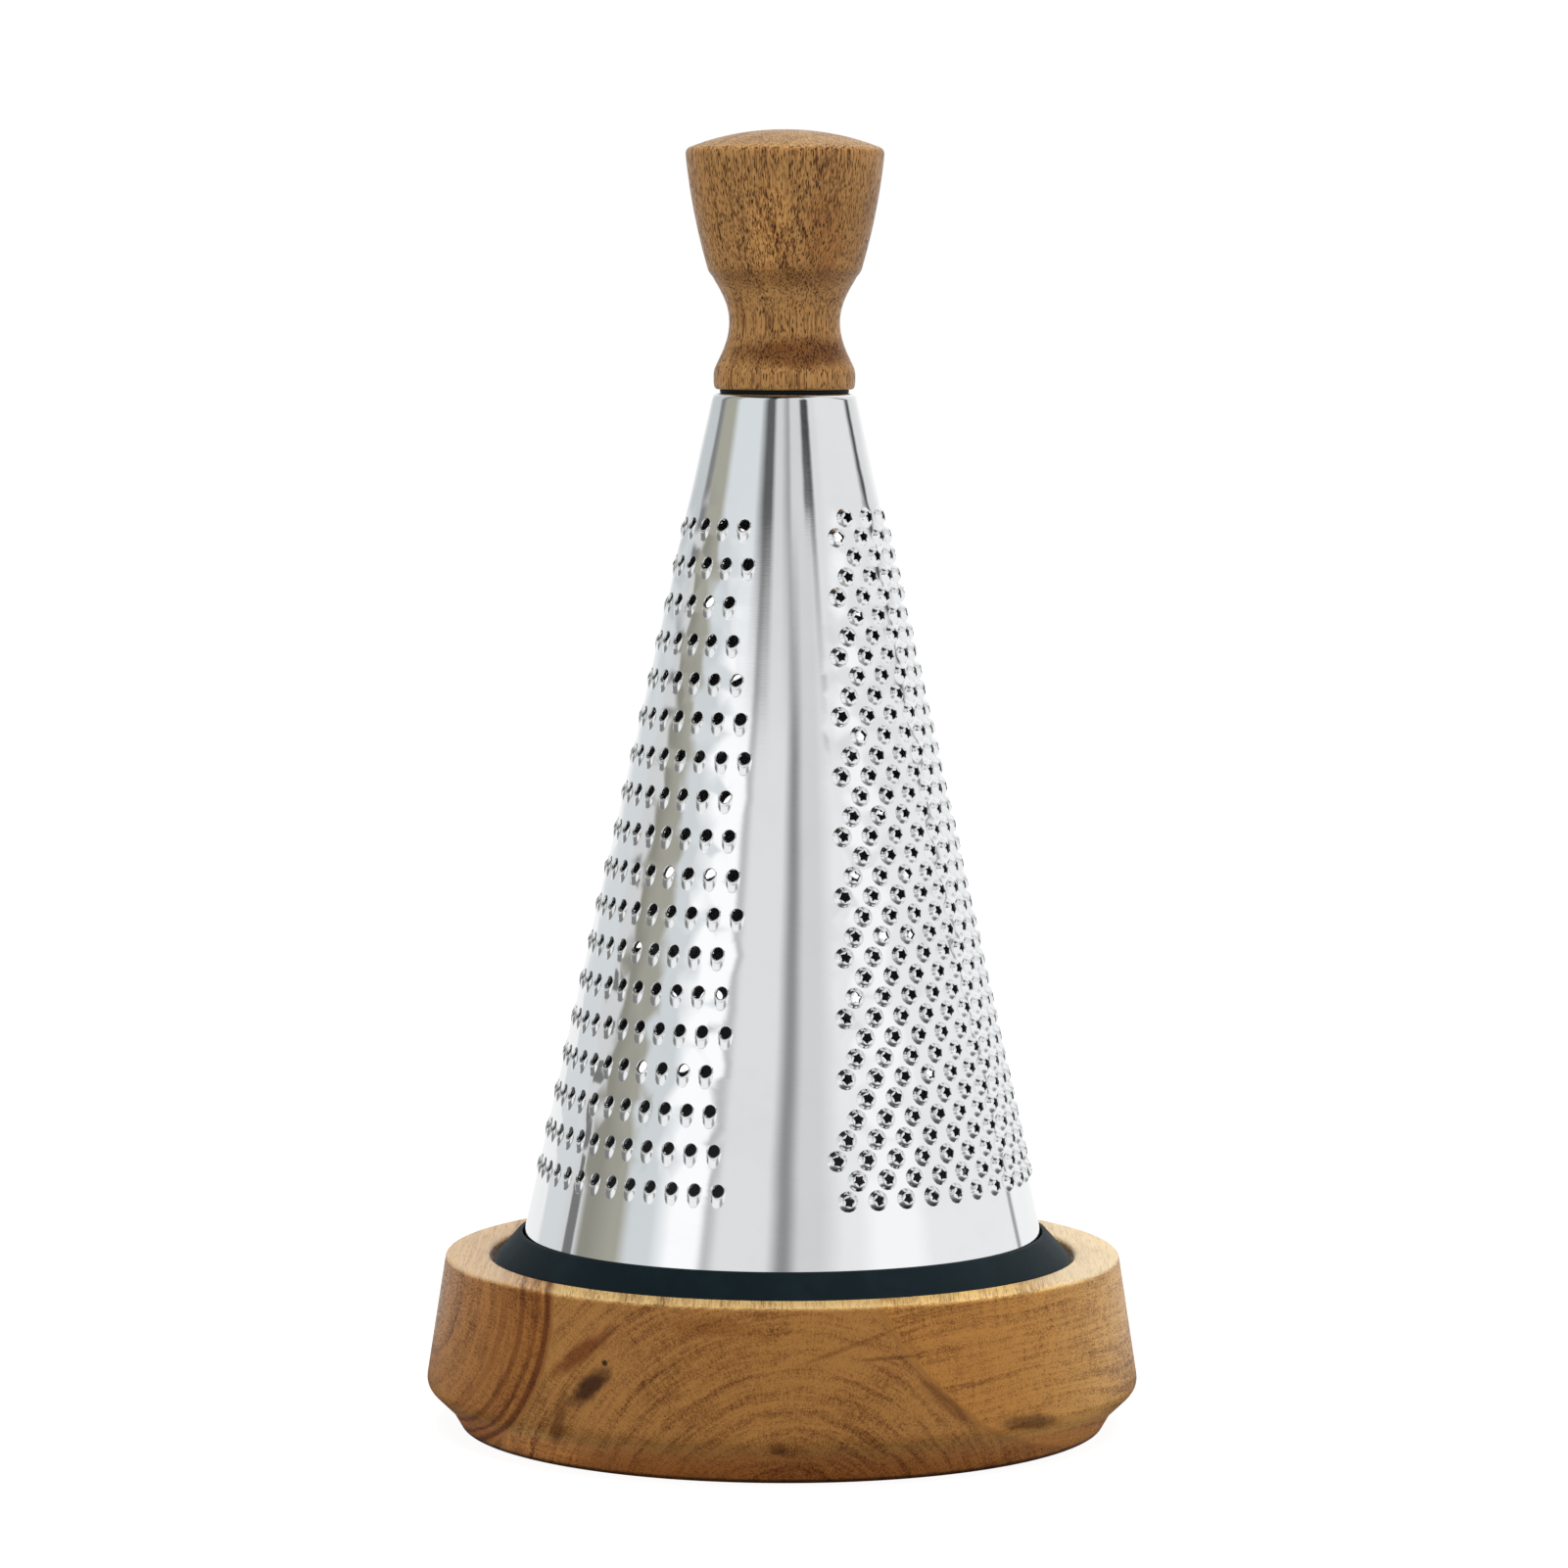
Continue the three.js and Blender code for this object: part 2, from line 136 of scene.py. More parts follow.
class NodeTree:
    """Short ways to place and wire the nodes of one tree."""

    def __init__(self, tree: ShaderNodeTree) -> None:
        """Starts from an existing tree."""
        self.tree = tree

    def node(self, kind: str, inputs: dict[Any, Any] | None = None, **settings: Any) -> Node:
        """Places a node.

        Args:
            kind: The node's type name.
            inputs: A value or a socket for each input, by its name or number.
            settings: The node's own properties.

        Returns:
            The node.
        """
        made = self.tree.nodes.new(kind)
        for name, value in settings.items():
            setattr(made, name, value)
        for name, value in (inputs or {}).items():
            if isinstance(value, NodeSocket):
                self.tree.links.new(value, made.inputs[name])
            else:
                made.inputs[name].default_value = value
        return made

    def wire(self, node: Node, **links: NodeSocket) -> None:
        """Links sockets to a node's inputs, with _ for a space in an input's name."""
        for name, socket in links.items():
            self.tree.links.new(socket, node.inputs[name.replace("_", " ")])

    def effect(self, group: ShaderNodeTree, **inputs: Any) -> Any:
        """Places an effect's group, with inputs named in small letters and _, and gives its outputs."""
        values = {name.replace("_", " ").title(): value for name, value in inputs.items()}
        return self.node("ShaderNodeGroup", values, node_tree=group).outputs

    def math(self, operation: str, first: Any, second: Any = 0.0, third: Any = 0.0) -> NodeSocket:
        """One Math node's result."""
        made = self.node("ShaderNodeMath", {0: first, 1: second, 2: third}, operation=operation)
        return made.outputs[0]

    def times(self, first: Any, second: Any) -> NodeSocket:
        """Two values multiplied."""
        return self.math("MULTIPLY", first, second)

    def vector(self, operation: str, first: Any, second: Any = ORIGIN) -> NodeSocket:
        """One Vector Math node's vector."""
        made = self.node("ShaderNodeVectorMath", {0: first, 1: second}, operation=operation)
        return made.outputs["Vector"]

    def scaled(self, vector: Any, factor: Any) -> NodeSocket:
        """A vector times one number."""
        return self.node("ShaderNodeVectorMath", {0: vector, "Scale": factor}, operation="SCALE").outputs[0]

    def length(self, vector: NodeSocket) -> NodeSocket:
        """A vector's length."""
        return self.node("ShaderNodeVectorMath", {0: vector}, operation="LENGTH").outputs["Value"]

    def ramp(self, value: Any, low: Any, high: float, to_low: float = 0.0, to_high: float = 1.0) -> Any:
        """A value eased from one level to another.

        Args:
            value: The value.
            low: Where the first level ends.
            high: Where the second level starts.
            to_low: The first level.
            to_high: The second level.

        Returns:
            The eased level.
        """
        made = self.node(
            "ShaderNodeMapRange",
            {"Value": value, "From Min": low, "From Max": high, "To Min": to_low, "To Max": to_high},
            interpolation_type="SMOOTHSTEP",
        )
        return made.outputs["Result"]

    def ramp_deg(self, angle: Any, span: Point2, to_low: float = 0.0, to_high: float = 1.0) -> Any:
        """An angle eased from one level to another over a span in degrees."""
        return self.ramp(angle, math.radians(span[0]), math.radians(span[1]), to_low, to_high)

    def mix(self, factor: Any, first: Any, second: Any, blend: str = "MIX") -> NodeSocket:
        """Two colours mixed."""
        colours = {0: factor, 6: first, 7: second}
        return self.node("ShaderNodeMix", colours, data_type="RGBA", blend_type=blend).outputs[2]

    def mix_vector(self, factor: Any, first: Any, second: Any) -> NodeSocket:
        """Two vectors mixed."""
        return self.node("ShaderNodeMix", {0: factor, 4: first, 5: second}, data_type="VECTOR").outputs[1]

    def noise(
        self, vector: Any, scale: Any = None, detail: float = 2.0, roughness: float = 0.5,
        output: str = "Fac",
    ) -> NodeSocket:
        """A Noise Texture over a vector.

        Args:
            vector: Where to read the noise.
            scale: What each part of the vector is multiplied by first, if it isn't scaled already.
            detail: Octaves of finer noise.
            roughness: How strong the finer noise is.
            output: The output's name.

        Returns:
            The output.
        """
        point = vector if scale is None else self.vector("MULTIPLY", vector, scale)
        made = self.node(
            "ShaderNodeTexNoise",
            {"Vector": point, "Scale": 1.0, "Detail": detail, "Roughness": roughness},
        )
        return made.outputs[output]

    def split(self, vector: Any) -> tuple[Any, Any, Any]:
        """A vector's three parts."""
        made = self.node("ShaderNodeSeparateXYZ", {0: vector})
        return made.outputs[0], made.outputs[1], made.outputs[2]

    def join(self, x: Any = 0.0, y: Any = 0.0, z: Any = 0.0) -> NodeSocket:
        """A vector from three parts."""
        return self.node("ShaderNodeCombineXYZ", {0: x, 1: y, 2: z}).outputs[0]

    def place_mm(self) -> NodeSocket:
        """The surface point in the part's frame, in millimetres."""
        return self.scaled(self.node("ShaderNodeTexCoord").outputs["Object"], 1 / MM)

    def bearing(self, x: Any, y: Any) -> NodeSocket:
        """The angle of a direction from the viewer's side, growing towards +X."""
        return self.math("ARCTAN2", x, self.times(y, -1.0))

    def bumped(self, height: Any, strength: float, depth_mm: float) -> NodeSocket:
        """A Bump node's normal for a height map of a given depth."""
        values = {"Height": height, "Strength": strength, "Distance": depth_mm * MM}
        return self.node("ShaderNodeBump", values).outputs["Normal"]


def socket_for(default: Any) -> Socket:
    """The kind of socket that holds a default value.

    Args:
        default: One number, three for a vector or four for a colour.

    Returns:
        The kind.
    """
    if isinstance(default, float):
        return Socket.VALUE
    return Socket.VECTOR if len(default) == 3 else Socket.COLOUR


def node_group(name: str, takes: dict[str, Any], gives: dict[str, Socket]) -> tuple[Any, ...]:
    """A new, empty shader node group.

    Args:
        name: The group's name.
        takes: Each input's name and default value.
        gives: Each output's name and kind.

    Returns:
        The group, its NodeTree, its input node's outputs and its output node.
    """
    group = bpy.data.node_groups.new(name, "ShaderNodeTree")
    for title, default in takes.items():
        kind = socket_for(default).value
        group.interface.new_socket(title, in_out="INPUT", socket_type=kind).default_value = default
    for title, socket in gives.items():
        group.interface.new_socket(title, in_out="OUTPUT", socket_type=socket.value)
    nodes = NodeTree(group)
    taken = nodes.node("NodeGroupInput").outputs
    given = nodes.node("NodeGroupOutput")
    return group, nodes, taken, given


@dataclass
class EffectGroups:
    """The effects that several materials share, each a node group that is built once.

    Grain scales are in cycles per millimetre across, across and along the grain. Growth and rays are
    scaled round the heart, away from it and along the grain.
    """

    ring_drift: Point3 = (0.025, 0.025, 0.008)
    ring_ripple: Point3 = (0.35, 0.35, 0.03)
    ripple_depth: float = 0.5
    late_wood: Point3 = (0.3, 0.9, 1.0)
    palest_ring: float = 0.25
    patch_edge: Point2 = (0.3, 0.72)
    texture_span: Point2 = (0.3, 0.7)
    fibre_span: Point2 = (0.2, 0.8)
    broad_patch: Point3 = (0.055, 0.055, 0.02)
    fibres: Point3 = (3.6, 3.6, 0.06)
    growth: Point3 = (5.0, 1.5, 0.04)
    rays: Point3 = (120.0, 0.35, 0.15)
    pore_reach: Point2 = (0.16, 0.44)
    pore_edge: Point2 = (0.75, 1.1)
    wood_roughness: Point2 = (0.28, 0.42)
    pore_roughness: float = 0.25
    pore_dip: float = -0.8
    fibre_height: float = 0.25
    ring_height: float = 0.15
    torn_scale: Point3 = (0.5, 0.5, 0.5)
    thinnest_band: float = 1e-4
    lines_round: float = 9.0
    cloud_edge: Point2 = (0.45, 0.75)

    def __post_init__(self) -> None:
        """Builds every group."""
        self.wood = self.turned_wood()
        self.mark = self.wood_mark()
        self.brushing = self.brushed_lines()
        self.smudge = self.handling_marks()

    def turned_wood(self) -> ShaderNodeTree:
        """Growth rings round the grain, fibres and open pores along it, and rays across it.

        Returns:
            The group.
        """
        group, nodes, taken, given = node_group(
            "turned_wood",
            {
                "Grain Position": ORIGIN, "Light": grey(0.5), "Dark": grey(0.2), "Pore": grey(0.05),
                "Ring Width": 3.0, "Ring Wander": 5.0, "Ring Strength": 0.6, "Patch Strength": 0.4,
                "Pore Strength": 0.7, "Pore Spacing": 0.45, "Pore Length": 5.0, "Ray Strength": 0.2,
                "Fibre Strength": 1.0, "Growth Strength": 0.5,
            },
            {"Color": Socket.COLOUR, "Roughness": Socket.VALUE, "Height": Socket.VALUE},
        )
        point = taken["Grain Position"]
        slow = nodes.noise(point, self.ring_drift, output="Color")
        drift = nodes.vector("SUBTRACT", slow, (0.5, 0.5, 0.5))
        wandered = nodes.vector("ADD", point, nodes.scaled(drift, taken["Ring Wander"]))
        across = nodes.vector("MULTIPLY", wandered, (1, 1, 0))
        radius = nodes.length(across)
        ripple = nodes.times(nodes.noise(point, self.ring_ripple), self.ripple_depth)
        phase = nodes.math("ADD", nodes.math("DIVIDE", radius, taken["Ring Width"]), ripple)
        share = nodes.math("FRACT", phase)
        start, full, end = self.late_wood
        late = nodes.math("SUBTRACT", nodes.ramp(share, start, full), nodes.ramp(share, full, end))
        count = nodes.math("FLOOR", phase)
        each = nodes.node("ShaderNodeTexWhiteNoise", {"W": count}, noise_dimensions="1D")
        ring = nodes.times(late, nodes.ramp(each.outputs["Value"], 0.0, 1.0, self.palest_ring, 1.0))
        ring = nodes.times(ring, taken["Ring Strength"])
        broad = nodes.ramp(nodes.noise(point, self.broad_patch, detail=3.0), *self.patch_edge)
        shade = nodes.math("ADD", ring, nodes.times(broad, taken["Patch Strength"]))
        x, y, _ = nodes.split(across)
        polar = nodes.join(nodes.math("ARCTAN2", y, x), radius, nodes.split(point)[2])
        fibre = nodes.noise(point, self.fibres, detail=4.0, roughness=0.6)
        textures = {
            "Fibre Strength": fibre,
            "Growth Strength": nodes.noise(polar, self.growth, detail=3.0, roughness=0.6),
            "Ray Strength": nodes.noise(polar, self.rays),
        }
        for strength, texture in textures.items():
            even = nodes.ramp(texture, *self.texture_span, -0.5, 0.5)
            shade = nodes.math("ADD", shade, nodes.times(even, taken[strength]))
        shade = nodes.node("ShaderNodeClamp", {0: shade}).outputs[0]
        colour = nodes.mix(shade, taken["Light"], taken["Dark"])
        crosswise = nodes.math("DIVIDE", 1.0, taken["Pore Spacing"])
        pore_scale = nodes.join(crosswise, crosswise, nodes.math("DIVIDE", 1.0, taken["Pore Length"]))
        cells = nodes.node(
            "ShaderNodeTexVoronoi", {"Vector": nodes.vector("MULTIPLY", point, pore_scale), "Scale": 1.0}
        )
        reach = nodes.ramp(nodes.split(cells.outputs["Color"])[0], 0.0, 1.0, *self.pore_reach)
        from_pore = nodes.math("DIVIDE", cells.outputs["Distance"], reach)
        pore = nodes.ramp(from_pore, *self.pore_edge, 1.0, 0.0)
        colour = nodes.mix(nodes.times(pore, taken["Pore Strength"]), colour, taken["Pore"])
        rough = nodes.ramp(fibre, *self.fibre_span, *self.wood_roughness)
        rough = nodes.math("ADD", rough, nodes.times(pore, self.pore_roughness))
        dips = nodes.math("ADD", nodes.times(pore, self.pore_dip), nodes.times(fibre, self.fibre_height))
        height = nodes.math("SUBTRACT", dips, nodes.times(ring, self.ring_height))
        nodes.wire(given, Color=colour, Roughness=rough, Height=height)
        return group

    def wood_mark(self) -> ShaderNodeTree:
        """A stain or knot round one point of the wood, or a patch of painted light or shade there, or only a
        band along such a spot's edge.

        Returns:
            The group.
        """
        group, nodes, taken, given = node_group(
            "wood_mark",
            {
                "Position": ORIGIN, "Centre": ORIGIN, "Reach": (1.0, 1.0, 1.0), "Slant": 0.0,
                "Ragged": 0.6, "Solid": 0.35, "Band": 0.0,
            },
            {"Mask": Socket.VALUE},
        )
        off = nodes.vector("SUBTRACT", taken["Position"], taken["Centre"])
        turned = nodes.node(
            "ShaderNodeVectorRotate", {"Vector": off, "Angle": taken["Slant"]}, rotation_type="Y_AXIS"
        )
        near = nodes.length(nodes.vector("DIVIDE", turned.outputs[0], taken["Reach"]))
        beside = nodes.math("ABSOLUTE", nodes.math("SUBTRACT", near, 1.0))
        beside = nodes.math("DIVIDE", beside, nodes.math("MAXIMUM", taken["Band"], self.thinnest_band))
        hollow = nodes.math("GREATER_THAN", taken["Band"], 0.0)
        near = nodes.math("ADD", nodes.times(nodes.math("SUBTRACT", beside, near), hollow), near)
        torn = nodes.math("SUBTRACT", nodes.noise(taken["Position"], self.torn_scale, detail=3.0), 0.5)
        edge = nodes.math("ADD", near, nodes.times(torn, taken["Ragged"]))
        nodes.wire(given, Mask=nodes.ramp(edge, taken["Solid"], 1.0, 1.0, 0.0))
        return group

    def brushed_lines(self) -> ShaderNodeTree:
        """Fine lines round the axis that a belt or a lathe tool leaves in metal.

        Returns:
            The group.
        """
        group, nodes, taken, given = node_group(
            "brushing",
            {"Position": ORIGIN, "Lines": 6.0, "Roughness Low": 0.1, "Roughness High": 0.2},
            {"Roughness": Socket.VALUE, "Height": Socket.VALUE},
        )
        x, y, z = nodes.split(taken["Position"])
        turn = nodes.times(nodes.math("ARCTAN2", y, x), self.lines_round)
        line_point = nodes.join(turn, 0.0, nodes.times(z, taken["Lines"]))
        lines = nodes.noise(line_point, detail=4.0, roughness=0.65)
        rough = nodes.node(
            "ShaderNodeMapRange",
            {
                "Value": lines, "From Min": self.texture_span[0], "From Max": self.texture_span[1],
                "To Min": taken["Roughness Low"], "To Max": taken["Roughness High"],
            },
        )
        nodes.wire(given, Roughness=rough.outputs["Result"], Height=lines)
        return group

    def handling_marks(self) -> ShaderNodeTree:
        """Faint cloudy handling marks and settled dust.

        Returns:
            The group.
        """
        group, nodes, taken, given = node_group(
            "smudge", {"Position": ORIGIN, "Size": 12.0, "Amount": 0.5}, {"Mask": Socket.VALUE}
        )
        point = nodes.scaled(taken["Position"], nodes.math("DIVIDE", 1.0, taken["Size"]))
        cloud = nodes.noise(point, detail=4.0, roughness=0.6)
        nodes.wire(given, Mask=nodes.times(nodes.ramp(cloud, *self.cloud_edge), taken["Amount"]))
        return group


def new_material(name: str) -> tuple[Material, NodeTree, Node]:
    """A material with only a Principled BSDF.

    Args:
        name: The material's name.

    Returns:
        The material, its NodeTree and the BSDF.
    """
    material = bpy.data.materials.new(name)
    material.use_nodes = True
    nodes = NodeTree(material.node_tree)
    return material, nodes, material.node_tree.nodes["Principled BSDF"]


# Finishes


@dataclass(frozen=True)
class Finish:
    """What all finishes share: a name, and a material with one shader."""

    name: str

    def material(self, groups: EffectGroups) -> Material:
        """Builds the material.

        Args:
            groups: The shared effects.

        Returns:
            The material.
        """
        material, nodes, shader = new_material(self.name)
        self.paint(nodes, shader, groups)
        return material

    def paint(self, nodes: NodeTree, shader: Node, groups: EffectGroups) -> None:
        """Places the finish's own nodes.

        Args:
            nodes: The material's tree.
            shader: Its shader, to wire and set.
            groups: The shared effects.
        """
        raise NotImplementedError


@dataclass(frozen=True)
class WoodMark:
    """A knot, stain or pale streak in the wood, or a patch of painted light or shade on it: where it is, how
    far it reaches and its colour.

    Solid is the share of the reach that has the full colour. A band above 0 colours only the edge,
    to that share of the reach on either side. A mark with a heart has growth rings of its own. A mark
    that covers lies over the wood, and any other tints it.
    """

    centre: Point3
    reach: Point3
    colour: Colour
    strength: float
    slant_deg: float = 0.0
    ragged: float = 0.6
    solid: float = 0.35
    band: float = 0.0
    heart: Point2 | None = None
    covers: bool = False

    def mask(self, nodes: NodeTree, groups: EffectGroups, place: Any) -> NodeSocket:
        """How much of the mark lies at each point.

        Args:
            nodes: The material's tree.
            groups: The shared effects.
            place: The surface point.

        Returns:
            The amount, up to the mark's strength.
        """
        made = nodes.effect(
            groups.mark, position=place, centre=self.centre, reach=self.reach,
            slant=math.radians(self.slant_deg), ragged=self.ragged, solid=self.solid, band=self.band,
        )
        return nodes.times(made["Mask"], self.strength)


GRAIN_VALUES = (
    "light", "dark", "pore", "ring_width", "ring_wander", "ring_strength", "patch_strength",
    "pore_strength", "pore_spacing", "pore_length", "ray_strength", "fibre_strength", "growth_strength",
)


@dataclass(frozen=True)
class WoodFinish(Finish):
    """Oiled hardwood, with its grain running along one axis of the part.

    The end tint colours the end grain, where the surface faces along the grain.
    """

    light: Colour
    dark: Colour
    pore: Colour
    along_y: bool
    heart: Point2
    ring_width: float
    ring_wander: float
    ring_strength: float
    patch_strength: float
    pore_strength: float
    pore_spacing: float
    pore_length: float
    ray_strength: float
    fibre_strength: float
    growth_strength: float
    end_tint: Colour
    marks: tuple[WoodMark, ...] = ()
    end_facing: Point2 = (0.3, 0.9)
    bump: float = 0.5
    bump_depth: float = 0.08
    specular: float = 0.15

    def grain_position(self, nodes: NodeTree, place: Any, masks: Sequence[Any]) -> NodeSocket:
        """The point measured from the tree's heart, or from a mark's own heart, with the grain along Z.

        Args:
            nodes: The material's tree.
            place: The surface point.
            masks: How much of each mark lies there.

        Returns:
            The point.
        """
        x, y, z = nodes.split(place)
        spot = nodes.join(x, z, y) if self.along_y else place
        heart: Any = (*self.heart, 0.0)
        for mark, mask in zip(self.marks, masks):
            if mark.heart:
                heart = nodes.mix_vector(mask, heart, (*mark.heart, 0.0))
        return nodes.vector("SUBTRACT", spot, heart)

    def end_grain(self, nodes: NodeTree) -> NodeSocket:
        """How far the surface faces along the grain."""
        facing = nodes.split(nodes.node("ShaderNodeTexCoord").outputs["Normal"])[1 if self.along_y else 2]
        return nodes.ramp(nodes.math("ABSOLUTE", facing), *self.end_facing)

    def paint(self, nodes: NodeTree, shader: Node, groups: EffectGroups) -> None:
        """Places the grain, then the end grain's tint and the marks over it.

        Args:
            nodes: The material's tree.
            shader: Its shader, to wire and set.
            groups: The shared effects.
        """
        place = nodes.place_mm()
        masks = [mark.mask(nodes, groups, place) for mark in self.marks]
        grain = {name: getattr(self, name) for name in GRAIN_VALUES}
        wood = nodes.effect(groups.wood, grain_position=self.grain_position(nodes, place, masks), **grain)
        colour = nodes.mix(self.end_grain(nodes), wood["Color"], self.end_tint, "MULTIPLY")
        for mark, mask in zip(self.marks, masks):
            colour = nodes.mix(mask, colour, mark.colour, "MIX" if mark.covers else "MULTIPLY")
        relief = nodes.bumped(wood["Height"], self.bump, self.bump_depth)
        nodes.wire(shader, Base_Color=colour, Roughness=wood["Roughness"], Normal=relief)
        shader.inputs["Specular IOR Level"].default_value = self.specular


@dataclass(frozen=True)
class MetalFinish(Finish):
    """Bare metal with lines round the axis and faint handling marks."""

    colour: Colour
    smudged: Colour
    lines: float
    roughness: Point2
    line_bump: float
    line_depth: float = 0.01
    smudge_size: float = 14.0

    def paint(self, nodes: NodeTree, shader: Node, groups: EffectGroups) -> None:
        """Places the lines and the handling marks.

        Args:
            nodes: The material's tree.
            shader: Its shader, to wire and set.
            groups: The shared effects.
        """
        place = nodes.place_mm()
        low, high = self.roughness
        brushing = nodes.effect(
            groups.brushing, position=place, lines=self.lines, roughness_low=low, roughness_high=high
        )
        smudge = nodes.effect(groups.smudge, position=place, size=self.smudge_size)
        nodes.wire(
            shader, Base_Color=nodes.mix(smudge["Mask"], self.colour, self.smudged),
            Roughness=brushing["Roughness"],
            Normal=nodes.bumped(brushing["Height"], self.line_bump, self.line_depth),
        )
        shader.inputs["Metallic"].default_value = 1.0


@dataclass(frozen=True)
class RubberFinish(Finish):
    """Moulded rubber, slightly dusty."""

    colour: Colour
    dusty: Colour
    dust_size: float = 9.0
    dust_amount: float = 0.8
    skin_scale: Point3 = (5.0, 5.0, 5.0)
    skin_span: Point2 = (0.2, 0.8)
    roughness: Point2 = (0.55, 0.7)
    bump: float = 0.25
    bump_depth: float = 0.03
    specular: float = 0.15

    def paint(self, nodes: NodeTree, shader: Node, groups: EffectGroups) -> None:
        """Places the dust and the fine skin.

        Args:
            nodes: The material's tree.
            shader: Its shader, to wire and set.
            groups: The shared effects.
        """
        place = nodes.place_mm()
        dust = nodes.effect(groups.smudge, position=place, size=self.dust_size, amount=self.dust_amount)
        skin = nodes.noise(place, self.skin_scale, detail=3.0, roughness=0.6)
        nodes.wire(
            shader, Base_Color=nodes.mix(dust["Mask"], self.colour, self.dusty),
            Roughness=nodes.ramp(skin, *self.skin_span, *self.roughness),
            Normal=nodes.bumped(skin, self.bump, self.bump_depth),
        )
        shader.inputs["Specular IOR Level"].default_value = self.specular


# The tray is turned from three boards. Tints multiply the wood's colour.

FAR = 400.0
LEFT_HEART = (-76.6, -45.0, 28.4)
FAINT_TINT = (0.62, 0.54, 0.48, 1.0)
LINE_TINT = (0.5, 0.43, 0.38, 1.0)
DEEP_TINT = (0.45, 0.37, 0.32, 1.0)


def layer(height: float, half: float, colour: Colour, strength: float, **look: Any) -> WoodMark:
    """A mark that goes all round the part near one height."""
    return WoodMark((0.0, 0.0, height), (FAR, FAR, half), colour, strength, **look)


def board(centre: Point3, radius: float, colour: Colour, heart: Point2) -> WoodMark:
    """A board of the tray with a round joint and a heart of its own."""
    return WoodMark(centre, (radius, FAR, radius), colour, 1.0, ragged=0.02, solid=0.98, heart=heart)


def ring_line(radius: float, colour: Colour, strength: float, band: float) -> WoodMark:
    """A dark growth line round the left board's heart."""
    return WoodMark(LEFT_HEART, (radius, FAR, radius), colour, strength, ragged=0.35, band=band)


def rim_sheen_patch(x: float, colour: Colour, strength: float) -> WoodMark:
    """A pale patch of painted sheen on the tray's flat rim, to one side, standing in for its grazing
    reflection.
    """
    centre, reach = (x, 0.0, 30.6), (24.0, 80.0, 1.4)
    return WoodMark(centre, reach, colour, strength, ragged=0.2, solid=0.6, covers=True)


TRAY_WOOD = WoodFinish(
    name="tray_wood_oiled", light=srgb(198, 152, 90), dark=srgb(110, 67, 31), pore=srgb(74, 44, 20),
    along_y=True, heart=(2.0, -9.0), ring_width=3.3, ring_wander=6.0, ring_strength=0.3,
    patch_strength=0.35, pore_strength=0.28, pore_spacing=0.3, pore_length=5.0, ray_strength=0.3,
    fibre_strength=0.75, growth_strength=0.45, end_tint=(0.73, 0.6, 0.48, 1.0),
    marks=(
        board((68.8, -30.0, 56.8), 60.0, (1.15, 1.12, 1.0, 1.0), heart=(45.0, -90.0)),
        board(LEFT_HEART, 38.4, (0.82, 0.66, 0.54, 1.0), heart=(-76.6, 28.4)),
        # Painted light: the whole rim top is lightened and cooled, as painted sheen and top light.
        layer(30.6, 1.4, (1.2, 1.45, 1.8, 1.0), 1.0, ragged=0.0, solid=0.6),
        # Painted sheen: pale patches cover the rim's top to the left and to the right.
        rim_sheen_patch(-58.0, srgb(212, 184, 146), 0.6),
        rim_sheen_patch(58.0, srgb(222, 203, 168), 0.65),
        # Painted light: the foot band is reddened, standing in for warm light bounced round the shaded foot.
        layer(2.6, 4.4, (1.25, 1.02, 0.95, 1.0), 1.0, ragged=0.1),
        WoodMark((-42.0, -40.0, 3.6), (13.0, 40.0, 4.4), (1.5, 1.6, 1.65, 1.0), 0.9, ragged=0.2),
        WoodMark((27.5, -45.0, 13.4), (1.6, 60.0, 8.5), LINE_TINT, 0.8, slant_deg=47.0),
        WoodMark((17.5, -56.0, 21.4), (6.5, 40.0, 0.45), LINE_TINT, 0.8, slant_deg=2.0),
        WoodMark((11.0, -56.0, 23.4), (12.0, 40.0, 0.6), FAINT_TINT, 0.7, slant_deg=19.0),
        ring_line(37.1, DEEP_TINT, 1.0, 0.02),
        ring_line(35.3, FAINT_TINT, 0.9, 0.014),
        ring_line(32.8, (0.58, 0.5, 0.44, 1.0), 0.9, 0.022),
        ring_line(29.6, (0.74, 0.68, 0.62, 1.0), 0.8, 0.028),
        WoodMark((-32.2, -50.0, 15.4), (2.3, 60.0, 6.4), (0.16, 0.12, 0.1, 1.0), 1.0, slant_deg=-44.0),
        WoodMark((-37.4, -50.0, 9.0), (1.6, 60.0, 6.0), DEEP_TINT, 0.9, slant_deg=-14.0),
        WoodMark((-33.6, -50.0, 20.8), (2.0, 60.0, 9.0), (0.5, 0.35, 0.27, 1.0), 1.0, slant_deg=-48.0),
        WoodMark((-29.6, -52.0, 19.6), (0.7, 60.0, 0.7), (0.12, 0.1, 0.1, 1.0), 1.0, ragged=0.2),
        WoodMark((42.0, -46.0, 8.4), (7.0, 40.0, 1.9), (0.4, 0.38, 0.38, 1.0), 1.0, slant_deg=-8.0),
        WoodMark((-0.5, -58.0, 6.8), (2.4, 40.0, 1.5), (0.5, 0.42, 0.38, 1.0), 0.9),
        WoodMark((-12.0, -56.0, 26.5), (11.0, 40.0, 2.2), (0.74, 0.66, 0.58, 1.0), 0.9),
        # Painted shadow: a dark line along the foot's bottom edge, where it meets the floor.
        layer(0.0, 1.0, (0.2, 0.17, 0.15, 1.0), 1.0, ragged=0.1, solid=0.4),
    ),
)
